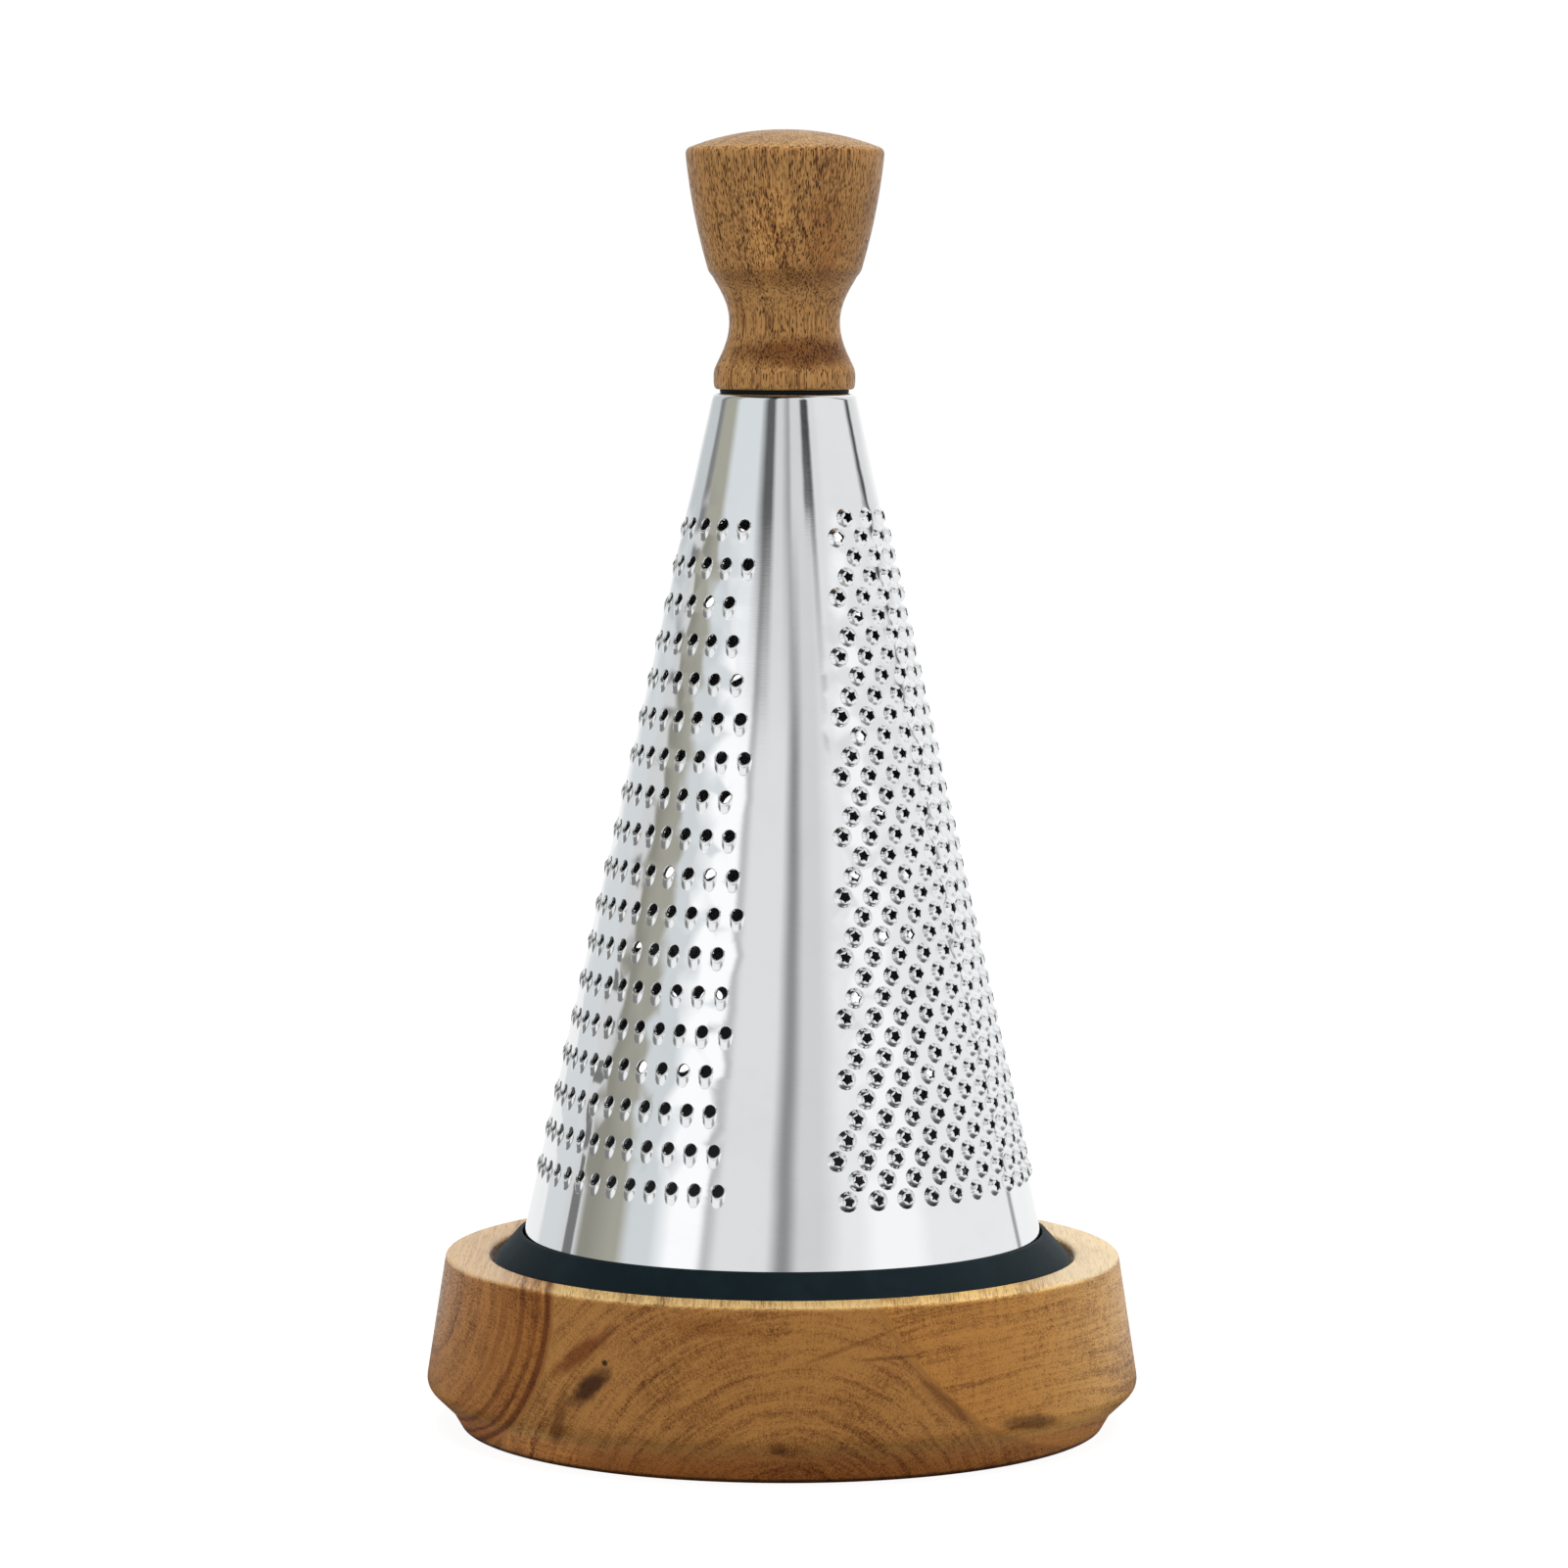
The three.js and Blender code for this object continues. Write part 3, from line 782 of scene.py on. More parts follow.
KNOB_WOOD = WoodFinish(
    name="knob_wood_oiled", light=srgb(193, 143, 86), dark=srgb(88, 48, 20), pore=srgb(40, 20, 8),
    along_y=False, heart=(-30.0, 22.0), ring_width=5.5, ring_wander=6.0, ring_strength=0.3,
    patch_strength=0.32, pore_strength=1.0, pore_spacing=0.23, pore_length=1.8, ray_strength=0.15,
    fibre_strength=1.25, growth_strength=0.45, end_tint=(0.85, 0.93, 1.0, 1.0),
    marks=(
        # Painted shade: a darker band in the hollow of the knob's waist, at its front.
        WoodMark((3.0, -10.0, 187.4), (16.0, 16.0, 3.6), (0.46, 0.36, 0.3, 1.0), 1.0),
        # Painted highlight: a pale line along the knob's top edge.
        layer(222.5, 0.4, (1.2, 1.2, 1.15, 1.0), 0.9, ragged=0.1),
        WoodMark((0.0, -12.0, 200.4), (20.0, 20.0, 2.8), (0.72, 0.66, 0.62, 1.0), 0.9),
        WoodMark((-2.6, -15.0, 207.0), (5.0, 14.0, 13.0), (1.3, 1.28, 1.2, 1.0), 0.9),
        WoodMark((6.8, -12.0, 207.0), (5.0, 14.0, 12.0), (0.82, 0.72, 0.64, 1.0), 0.9),
        WoodMark((14.0, -7.0, 207.0), (6.0, 14.0, 16.0), (0.8, 0.78, 0.74, 1.0), 0.9),
    ),
)
POLISHED_STEEL = MetalFinish(
    name="steel_polished", colour=(0.86, 0.87, 0.88, 1.0), smudged=(0.8, 0.81, 0.82, 1.0), lines=5.0,
    roughness=(0.03, 0.07), line_bump=0.08,
)
# Painted shade: the inside and the rasp points' torn rims are dark far below bare steel, so that the cone's
# inside and its holes look shaded.
DULL_STEEL_PAINTED_DARK = MetalFinish(
    name="steel_dull_inside_painted_shade", colour=(0.16, 0.16, 0.17, 1.0), smudged=(0.1, 0.1, 0.1, 1.0), lines=3.0,
    roughness=(0.4, 0.6), line_bump=0.1,
)
FASTENER_STEEL = MetalFinish(
    name="steel_fastener", colour=(0.7, 0.71, 0.72, 1.0), smudged=(0.6, 0.6, 0.61, 1.0), lines=12.0,
    roughness=(0.2, 0.34), line_bump=0.15,
)
TURNED_BRASS = MetalFinish(
    name="brass_turned", colour=(0.72, 0.5, 0.2, 1.0), smudged=(0.6, 0.4, 0.16, 1.0), lines=10.0,
    roughness=(0.22, 0.36), line_bump=0.15,
)
BLACK_RUBBER = RubberFinish(name="rubber_black", colour=srgb(11, 25, 30), dusty=srgb(18, 33, 39))


# Meshes


def make_piece(
    name: str, points: Sequence[Vector], faces: Sequence[Sequence[int]], sharp_deg: float = 30.0
) -> Object:
    """A smooth-shaded mesh piece, with creases where faces meet at a sharp angle.

    Args:
        name: The piece's name.
        points: Its points, in millimetres.
        faces: Point numbers of each face, anticlockwise from outside.
        sharp_deg: The angle from which an edge is sharp.

    Returns:
        The object, linked to the scene.
    """
    mesh = bpy.data.meshes.new(name)
    mesh.from_pydata([tuple(point * MM) for point in points], [], faces)
    mesh.validate()
    mesh.shade_smooth()
    mesh.set_sharp_from_angle(angle=math.radians(sharp_deg))
    made = bpy.data.objects.new(name, mesh)
    bpy.context.scene.collection.objects.link(made)
    return made


def bent(start: Vector, corner: Vector, end: Vector, share: float) -> Vector:
    """A point along the curve that rounds off a corner, at a share of its way."""
    return start * (1 - share) ** 2 + corner * 2 * share * (1 - share) + end * share**2


def rounded(corners: Sequence[tuple[float, ...]], steps: int = 6) -> list[Point2]:
    """A closed outline with its corners rounded.

    Args:
        corners: Radius, height and rounding of each corner; the rounding may be left out.
        steps: Stretches in each rounding.

    Returns:
        The outline's points.
    """
    longest = 0.45  # share of a side that one rounding may take
    points: list[Point2] = []
    for i, corner in enumerate(corners):
        here = Vector(corner[:2])
        if len(corner) == 2:
            points.append((here.x, here.y))
            continue
        sides = [Vector(corners[(i + d) % len(corners)][:2]) - here for d in (-1, 1)]
        ends = [here + side.normalized() * min(corner[2], longest * side.length) for side in sides]
        for k in range(steps + 1):
            point = bent(ends[0], here, ends[1], k / steps)
            points.append((point.x, point.y))
    return points


def bezier(start: Point2, pull: Point2, push: Point2, end: Point2, steps: int) -> list[Point2]:
    """Points along a cubic curve, without its start.

    Args:
        start: Where the curve starts.
        pull: What it leaves towards.
        push: What it arrives from.
        end: Where it ends.
        steps: Stretches along it.

    Returns:
        The points.
    """
    ends = (start, pull, push, end)
    curve = []
    for k in range(1, steps + 1):
        t = k / steps
        weights = ((1 - t) ** 3, 3 * t * (1 - t) ** 2, 3 * t * t * (1 - t), t**3)
        curve.append(tuple(sum(w * p[axis] for w, p in zip(weights, ends)) for axis in (0, 1)))
    return curve


def arch(start: Point2, corner: Point2, end: Point2, steps: int) -> list[Point2]:
    """Points along a curve that leaves and meets the two sides of a corner, without its start.

    Args:
        start: Where the curve starts.
        corner: The corner.
        end: Where it ends.
        steps: Stretches along it.

    Returns:
        The points.
    """
    pull = tuple(a + (c - a) * 2 / 3 for a, c in zip(start, corner))
    push = tuple(b + (c - b) * 2 / 3 for b, c in zip(end, corner))
    return bezier(start, pull, push, end, steps)


def turned_piece(
    name: str, outline: Sequence[Point2], sides: int, ring: bool, sharp_deg: float = 35.0
) -> Object:
    """A piece turned about Z.

    Args:
        name: The piece's name.
        outline: Radius and height of its points, anticlockwise; one off a ring starts and ends on the axis.
        sides: Steps round the axis.
        ring: Whether the outline closes on itself.
        sharp_deg: The angle from which an edge is sharp.

    Returns:
        The object.
    """
    on_axis = 1e-6
    points: list[Vector] = []
    rows: list[list[int]] = []
    for radius, height in outline:
        if radius < on_axis:
            points.append(Vector((0, 0, height)))
            rows.append([len(points) - 1] * sides)
            continue
        rows.append([len(points) + k for k in range(sides)])
        for k in range(sides):
            angle = math.tau * k / sides
            points.append(Vector((radius * math.sin(angle), -radius * math.cos(angle), height)))
    faces = []
    pairs = list(zip(rows, rows[1:])) + ([(rows[-1], rows[0])] if ring else [])
    for low, high in pairs:
        for k in range(sides):
            corners = [low[k], low[(k + 1) % sides], high[(k + 1) % sides], high[k]]
            faces.append(list(dict.fromkeys(corners)))
    return make_piece(name, points, faces, sharp_deg)


@dataclass
class Dresser:
    """Gives pieces their materials, each of them built once, and their places in the frame."""

    groups: EffectGroups = field(default_factory=EffectGroups)
    made: dict[str, Material] = field(default_factory=dict)

    def material(self, finish: Finish) -> Material:
        """A finish's material, which is built when it is first asked for.

        Args:
            finish: The finish.

        Returns:
            The material.
        """
        if finish.name not in self.made:
            self.made[finish.name] = finish.material(self.groups)
        return self.made[finish.name]

    def dress(self, piece: Object, finishes: Sequence[Finish], body: Body, node: str, slot: Slot) -> None:
        """Dresses one piece.

        Args:
            piece: The object.
            finishes: One finish for each of its material slots.
            body: The body that it rides on.
            node: The frame's node that it stands for.
            slot: The record's material slot; not used.
        """
        for finish in finishes:
            piece.data.materials.append(self.material(finish))
        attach(piece, body.value)
        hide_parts(node)
        faces = len(piece.data.polygons)
        LOG.info("%s rides on %s for %s, %d faces", piece.name, body.value, node, faces)


def span_mm(node: str) -> tuple[Vector, Vector]:
    """A node's lowest and highest corners, in millimetres."""
    low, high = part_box(node)
    return low / MM, high / MM


# The steel cone


@dataclass(frozen=True)
class ScoopTooth:
    """A hole with its lower edge raised into a cutting lip. Lengths run from the hole's middle.

    A tail below 1 makes the swelling below the hole blunt. The swelling's end lies askew to the left,
    and roll turns the hole's rim inwards. Lip from is where the lip starts and is full, from the
    hole's top at 0 to its bottom at 1, and swell how the swelling rises from the edge to the rim.
    """

    half_width: float
    hole_up: float
    hole_down: float
    margin: float
    lip: float
    lip_run: float
    sides: int
    tail: float = 1.0
    askew: float = 0.0
    roll: float = 0.1
    shares: tuple[float, ...] = (0.0, 0.15, 0.3, 0.45, 0.6, 0.8, 1.0)
    lip_spread: Point2 = (0.9, 1.1)
    lip_from: Point2 = (0.3, 0.9)
    swell: Point2 = (-0.15, 1.0)

    def rings(self, draw: random.Random) -> list[Ring]:
        """Rings of points from the tooth's outer edge in to the hole's rim.

        Args:
            draw: Seeded random numbers, for small differences between teeth.

        Returns:
            Points across, up the slope and out of the sheet for each ring.
        """
        lip = self.lip * draw.uniform(*self.lip_spread)
        wide = self.half_width + self.margin
        made = []
        for share in self.shares:
            ring = []
            for k in range(self.sides):
                turn = math.tau * k / self.sides
                across, up = math.cos(turn), math.sin(turn)
                edge = (wide * across, (self.hole_up + self.margin) * up)
                if up < 0:
                    side = math.copysign(abs(across) ** self.tail, across)
                    edge = (wide * side - self.askew * up * up, -self.reach() * (-up) ** self.tail)
                rim = (self.half_width * across, (self.hole_up if up > 0 else self.hole_down) * up)
                raised = lip * smooth((1 - up) / 2, *self.lip_from)
                ring.append((
                    edge[0] + (rim[0] - edge[0]) * share,
                    edge[1] + (rim[1] - edge[1]) * share,
                    raised * smooth(share, *self.swell),
                ))
            made.append(ring)
        inside = 1 - self.roll / self.half_width
        made.append([(across * inside, up * inside, height - self.roll) for across, up, height in made[-1]])
        return made

    def reach(self) -> float:
        """How far the tooth reaches from the hole's middle."""
        return self.hole_down + self.lip_run


@dataclass(frozen=True)
class RaspTooth:
    """A dome punched through from inside, torn open into a jagged star."""

    radius: float
    height: float
    star_points: int
    notch: float
    petal: float
    petal_rise: float
    dome: tuple[Point2, ...] = ((1.0, 0.0), (0.94, 0.1), (0.82, 0.44), (0.7, 0.74), (0.6, 0.92))
    petal_sides: int = 3
    height_spread: Point2 = (0.92, 1.08)
    petal_spread: Point2 = (0.85, 1.2)
    rise_spread: Point2 = (0.5, 1.2)

    def rings(self, draw: random.Random) -> list[Ring]:
        """Rings of points from the dome's foot in to the star's rim.

        Args:
            draw: Seeded random numbers, for the star's turn and small differences.

        Returns:
            Points across, up the slope and out of the sheet for each ring.
        """
        sides = self.star_points * self.petal_sides
        start = draw.uniform(0, math.tau)
        height = self.height * draw.uniform(*self.height_spread)
        turns = [start + math.tau * k / sides for k in range(sides)]
        made = []
        for share, level in self.dome:
            far = share * self.radius
            made.append([(far * math.cos(turn), far * math.sin(turn), level * height) for turn in turns])
        rim = []
        for k, turn in enumerate(turns):
            torn = k % self.petal_sides == 0
            far = self.notch if torn else self.petal * draw.uniform(*self.petal_spread)
            lift = height if torn else height + self.petal_rise * draw.uniform(*self.rise_spread)
            rim.append((far * math.cos(turn), far * math.sin(turn), lift))
        return made + [rim]

    def reach(self) -> float:
        """How far the tooth reaches from its middle."""
        return self.radius


class Field(Enum):
    """The three fields of teeth round the cone."""

    SHRED = "shred"
    RASP = "rasp"
    COARSE = "coarse"


@dataclass(frozen=True)
class ToothRows:
    """How a field's rows lie between the rubber rim and the cone's top.

    A step above 0 starts at the lowest row and one below 0 at the highest. Distances along a row start
    at the turn, and side is 1 to the right of it and -1 to the left. Each row is shifted from the one
    before, or in a centred field, which spreads to both sides of the turn, every other row. The strip is
    left plain at both ends of a row, at least that wide and at least its share of the radius.
    """

    above_rim: float
    below_top: float
    step: float
    pitch: float
    first: float
    shift: float
    strip: float
    strip_share: float = 0.0
    turn: float = 0.0
    side: int = 1
    centred: bool = False


TEETH: dict[Field, tuple[ScoopTooth | RaspTooth, ToothRows]] = {
    Field.SHRED: (
        ScoopTooth(
            half_width=1.12, hole_up=1.18, hole_down=1.18, margin=0.22, lip=0.38, lip_run=1.9, sides=20,
            tail=0.85, askew=0.03,
        ),
        ToothRows(
            above_rim=12.7, below_top=22.4, step=-6.539, pitch=4.2, first=7.0, shift=-0.7535, strip=5.8,
            strip_share=0.24, side=-1,
        ),
    ),
    Field.RASP: (
        RaspTooth(radius=1.85, height=0.8, star_points=5, notch=1.06, petal=0.7, petal_rise=0.06),
        ToothRows(
            above_rim=11.2, below_top=20.2, step=3.356, pitch=5.35, first=11.2, shift=1.7306, strip=9.2
        ),
    ),
    Field.COARSE: (
        ScoopTooth(half_width=2.5, hole_up=2.2, hole_down=2.3, margin=0.9, lip=1.9, lip_run=3.2, sides=22),
        ToothRows(
            above_rim=14.7, below_top=26.0, step=-12.0, pitch=9.0, first=0.0, shift=4.5, strip=7.5,
            strip_share=0.22, turn=math.pi, centred=True,
        ),
    ),
}
# Owners of the flat sheet's points that belong to no tooth
PLAIN = -1
TOP_EDGE = -2


@dataclass
class LaidTooth:
    """A tooth on the flat sheet: its field, its shape, its middle, its rings and its outer ring's points."""

    kind: Field
    shape: ScoopTooth | RaspTooth
    spot: Point2
    rings: list[Ring]
    loop: list[int]


@dataclass
class FlatSheet:
    """The cone's sheet laid flat, with its apex at 0, before it is filled with triangles.

    A point's owner is its tooth's number, TOP_EDGE or PLAIN. Edges are pairs of points that the
    triangles keep. Twins are the points of the seam's second edge with the points that they join.
    """

    points: list[Point2] = field(default_factory=list)
    owners: list[int] = field(default_factory=list)
    edges: list[tuple[int, int]] = field(default_factory=list)
    teeth: list[LaidTooth] = field(default_factory=list)
    twins: dict[int, int] = field(default_factory=dict)
    top_row: list[int] = field(default_factory=list)
    cells: dict[tuple[int, int], list[LaidTooth]] = field(default_factory=dict)
    cell: float = 8.0
    clearance: float = 0.7

    def add(self, point: Point2, owner: int) -> int:
        """Adds a point.

        Args:
            point: Where it lies.
            owner: What it belongs to.

        Returns:
            Its number.
        """
        self.points.append(point)
        self.owners.append(owner)
        return len(self.points) - 1

    def add_polar(self, slant: float, turn: float, owner: int = PLAIN) -> int:
        """Adds a point at a distance from the apex and an angle from the sheet's middle."""
        return self.add((slant * math.sin(turn), -slant * math.cos(turn)), owner)

    def cell_of(self, x: float, y: float) -> tuple[int, int]:
        """The square of the search grid that a point lies in."""
        return math.floor(x / self.cell), math.floor(y / self.cell)

    def near_tooth(self, x: float, y: float) -> bool:
        """Whether a point lies on a tooth or close beside it.

        Args:
            x: Across the flat sheet.
            y: Up the flat sheet.

        Returns:
            True if it does.
        """
        column, row = self.cell_of(x, y)
        for i in (-1, 0, 1):
            for j in (-1, 0, 1):
                for tooth in self.cells.get((column + i, row + j), ()):
                    away = math.hypot(x - tooth.spot[0], y - tooth.spot[1])
                    if away < tooth.shape.reach() + self.clearance:
                        return True
        return False


@dataclass
class GraterCone:
    """The cone: one punched steel sheet with a rounded shoulder and a flat top.

    Waves are the dents that punching leaves beyond the plain strips, and the bow is the whole sheet's.
    Both are calm near the foot, over calm_foot above the rubber rim, and near the top, over calm_top.
    """

    foot_z: float
    top_z: float
    foot_radius: float
    rim_top_z: float
    top_radius: float = 12.3
    sheet: float = 0.6
    shoulder: float = 1.1
    shoulder_steps: int = 6
    screw_hole: float = 2.8
    sector: float = math.tau / 3
    seam_angle: float = math.tau / 3
    around_top: int = 72
    grid_step: float = 3.0
    seam_margin: float = 1.2
    merge_within: float = 1e-5
    wave_height: float = 0.16
    wave_length: float = 4.6
    wave_fade: float = 4.0
    wave_from: float = 0.5
    wave_layer: float = 3.7
    plain_strip: float = 7.0
    plain_share: float = 0.24
    bow_height: float = 0.03
    bow_length: float = 25.0
    bow_layer: float = 9.1
    calm_foot: Point2 = (10.0, 17.0)
    calm_top: Point2 = (12.0, 22.0)
    probe: float = 0.2
    sharp_deg: float = 38.0
    seed: int = 5
    outer: list[Vector] = field(default_factory=list)
    inner: list[Vector] = field(default_factory=list)
    normals: list[Vector] = field(default_factory=list)
    faces: list[tuple[int, ...]] = field(default_factory=list)
    torn_rims: set[int] = field(default_factory=set)

    def __post_init__(self) -> None:
        """Works out the slope and the flat development's apex."""
        self.taper = (self.foot_radius - self.top_radius) / (self.top_z - self.foot_z)
        self.lean = math.atan(self.taper)
        self.apex_z = self.top_z + self.top_radius / self.taper
        self.middle_angle = self.seam_angle - math.pi
        self.flat_half = math.pi * math.sin(self.lean)

    def radius(self, z: float) -> float:
        """The outer radius at a height."""
        return (self.apex_z - z) * self.taper

    def slant(self, z: float) -> float:
        """The distance from the apex down the slope to a height."""
        return (self.apex_z - z) / math.cos(self.lean)

    def around(self, x: float, y: float) -> float:
        """The angle round the cone of a point of the flat sheet."""
        return self.middle_angle + math.atan2(x, -y) / math.sin(self.lean)

    def flat_point(self, angle: float, z: float) -> Point2:
        """A place on the cone in the flat sheet, which is cut at the seam.

        Args:
            angle: The place's angle round the cone.
            z: Its height.

        Returns:
            The flat point.
        """
        off = (angle - self.middle_angle + math.pi) % math.tau - math.pi
        turn = off * math.sin(self.lean)
        slant = self.slant(z)
        return (slant * math.sin(turn), -slant * math.cos(turn))

    @staticmethod
    def flat_offset(spot: Point2, across: float, up: float) -> Point2:
        """A point of the flat sheet beside a place.

        Args:
            spot: The place.
            across: How far to the right.
            up: How far up the slope.

        Returns:
            The point.
        """
        slant = math.hypot(*spot)
        sine, cosine = spot[0] / slant, -spot[1] / slant
        return (spot[0] + across * cosine - up * sine, spot[1] + across * sine + up * cosine)

    def wrap(self, x: float, y: float, height: float) -> tuple[Vector, Vector]:
        """A point of the flat sheet on the cone.

        Args:
            x: Across the flat sheet.
            y: Up the flat sheet, with the apex at 0.
            height: Out of the sheet.

        Returns:
            The point and the cone's outward normal there.
        """
        slant = math.hypot(x, y)
        angle = self.around(x, y)
        out = Vector((math.sin(angle), -math.cos(angle), 0))
        normal = out * math.cos(self.lean) + Vector((0, 0, math.sin(self.lean)))
        foot = out * slant * math.sin(self.lean)
        foot.z = self.apex_z - slant * math.cos(self.lean)
        return foot + normal * height, normal

    def places(self, rows: ToothRows) -> list[Point2]:
        """Angle and height of each tooth of a field.

        Args:
            rows: How the field's rows lie.

        Returns:
            The places, row by row.
        """
        ends = (self.rim_top_z + rows.above_rim, self.top_z - rows.below_top)
        first_z, last_z = ends if rows.step > 0 else ends[::-1]
        places = []
        for row in range(math.floor((last_z - first_z) / rows.step) + 1):
            z = first_z + row * rows.step
            r = self.radius(z)
            strip = max(rows.strip, rows.strip_share * r)
            half = self.sector * r / 2
            low, high = (strip - half, half - strip) if rows.centred else (strip, self.sector * r - strip)
            first = rows.first + rows.shift * (row % 2 if rows.centred else row)
            start = first + math.ceil((low - first) / rows.pitch) * rows.pitch
            count = max(math.floor((high - start) / rows.pitch) + 1, 0)
            arcs = [start + k * rows.pitch for k in range(count)]
            places += [(rows.turn + rows.side * arc / r, z) for arc in arcs]
        return places

    def wave(self, x: float, y: float) -> float:
        """How far rolling and punching have bent the sheet, which is nothing near its foot and its top.

        Args:
            x: Across the flat sheet.
            y: Up the flat sheet.

        Returns:
            The distance out of the sheet.
        """
        slant = math.hypot(x, y)
        r = slant * math.sin(self.lean)
        arc = (self.around(x, y) % self.sector) * r
        from_strip = min(arc, self.sector * r - arc) - max(self.plain_strip, self.plain_share * r)
        z = self.apex_z - slant * math.cos(self.lean)
        within = smooth(z - self.rim_top_z, *self.calm_foot) * smooth(self.top_z - z, *self.calm_top)
        punched = self.wave_height * smooth(from_strip, self.wave_from, self.wave_from + self.wave_fade)
        dents = punched * noise.noise(Vector((x, y, self.wave_layer)) / self.wave_length)
        bow = self.bow_height * noise.noise(Vector((x, y, self.bow_layer)) / self.bow_length)
        return within * (dents + bow)

    def add_flat(self, x: float, y: float, height: float, on_sheet: bool) -> int:
        """Adds a point of the flat sheet to both faces of the cone.

        Args:
            x: Across the flat sheet.
            y: Up the flat sheet.
            height: Out of the sheet.
            on_sheet: Whether the sheet's own normal holds here.

        Returns:
            The point's number.
        """
        wave = self.wave(x, y)
        point, normal = self.wrap(x, y, height + wave)
        self.outer.append(point)
        self.inner.append(point - normal * self.sheet)
        own = Vector(ORIGIN)
        if on_sheet:
            step = self.probe
            base = self.wrap(x, y, wave)[0]
            east = self.wrap(x + step, y, self.wave(x + step, y))[0] - base
            north = self.wrap(x, y + step, self.wave(x, y + step))[0] - base
            own = east.cross(north).normalized()
        self.normals.append(own)
        return len(self.outer) - 1

    def lay_teeth(self, flat: FlatSheet) -> None:
        """Lays every tooth's outer ring on the flat sheet.

        Args:
            flat: The flat sheet, added to.
        """
        draw = random.Random(self.seed)
        for kind, (shape, rows) in TEETH.items():
            places = self.places(rows)
            LOG.info("%s teeth: %d", kind.value, len(places))
            for angle, z in places:
                spot = self.flat_point(angle, z)
                rings = shape.rings(draw)
                owner = len(flat.teeth)
                loop = [flat.add(self.flat_offset(spot, across, up), owner) for across, up, _ in rings[0]]
                flat.edges += zip(loop, loop[1:] + loop[:1])
                tooth = LaidTooth(kind, shape, spot, rings, loop)
                flat.teeth.append(tooth)
                flat.cells.setdefault(flat.cell_of(*spot), []).append(tooth)

    def lay_edges(self, flat: FlatSheet, top: float, bottom: float) -> None:
        """Lays the points along the flat sheet's four edges.

        Args:
            flat: The flat sheet, added to.
            top: The slant distance of its top edge.
            bottom: The slant distance of its bottom edge.
        """
        around_foot = round(math.tau * self.foot_radius / self.grid_step)
        arcs = []
        for slant, count, owner in ((top, self.around_top, TOP_EDGE), (bottom, around_foot, PLAIN)):
            turns = [self.flat_half * (2 * k / count - 1) for k in range(count + 1)]
            arc = [flat.add_polar(slant, turn, owner) for turn in turns]
            flat.edges += zip(arc, arc[1:])
            flat.twins[arc[-1]] = arc[0]
            arcs.append(arc)
        flat.top_row = arcs[0][:-1]
        steps = round((bottom - top) / self.grid_step)
        slants = [top + (bottom - top) * k / steps for k in range(1, steps)]
        sides = [[flat.add_polar(s, turn) for s in slants] for turn in (-self.flat_half, self.flat_half)]
        for side, end in zip(sides, (0, -1)):
            chain = [arcs[0][end], *side, arcs[1][end]]
            flat.edges += zip(chain, chain[1:])
        flat.twins.update(zip(sides[1], sides[0]))

    def lay_grid(self, flat: FlatSheet, top: float, bottom: float) -> None:
        """Lays points over the flat sheet between the teeth.

        Args:
            flat: The flat sheet, added to.
            top: The slant distance of its top edge.
            bottom: The slant distance of its bottom edge.
        """
        rows = round((bottom - top) / self.grid_step)
        for row in range(1, rows):
            slant = top + (bottom - top) * row / rows
            count = round(2 * self.flat_half * slant / self.grid_step)
            for k in range(1, count):
                turn = self.flat_half * (2 * (k + 0.5 * (row % 2)) / count - 1)
                if turn > self.flat_half * (1 - self.seam_margin / count):
                    continue
                if not flat.near_tooth(slant * math.sin(turn), -slant * math.cos(turn)):
                    flat.add_polar(slant, turn)

    def build_sheet(self) -> list[int]:
        """Lays the sheet out flat, fills it with triangles, raises the teeth and closes the seam.

        Returns:
            The numbers of the points along the top edge of the straight wall.
        """
        flat = FlatSheet()
        top = self.slant(self.top_z - self.shoulder * math.cos(self.lean))
        bottom = self.slant(self.foot_z)
        self.lay_teeth(flat)
        self.lay_edges(flat, top, bottom)
        self.lay_grid(flat, top, bottom)
        spots = [Vector(point) for point in flat.points]
        _, _, triangles, origins, _, _ = delaunay_2d_cdt(spots, flat.edges, [], 0, self.merge_within)
        number: dict[int, int] = {}
        for i, (x, y) in enumerate(flat.points):
            if i not in flat.twins:
                number[i] = self.add_flat(x, y, 0.0, True)
        number.update({i: number[twin] for i, twin in flat.twins.items()})
        for triangle in triangles:
            ends = [origins[i][0] for i in triangle]
            owners = {flat.owners[i] for i in ends}
            if len(owners) > 1 or owners == {PLAIN}:
                self.faces.append(tuple(number[i] for i in ends))
        for tooth in flat.teeth:
            rows = [[number[i] for i in tooth.loop]]
            for ring in tooth.rings[1:]:
                spread = [(*self.flat_offset(tooth.spot, across, up), height) for across, up, height in ring]
                rows.append([self.add_flat(*point, False) for point in spread])
            self.join_rows(rows)
            if tooth.kind is Field.RASP:
                self.torn_rims.update(rows[-1])
        return [number[i] for i in flat.top_row]

    def join_rows(self, rows: list[list[int]]) -> None:
        """Fills the strips between rings of points with four-sided faces.

        Args:
            rows: The numbers of each ring's points.
        """
        for low, high in zip(rows, rows[1:]):
            for k in range(len(low)):
                after = (k + 1) % len(low)
                self.faces.append((low[k], low[after], high[after], high[k]))

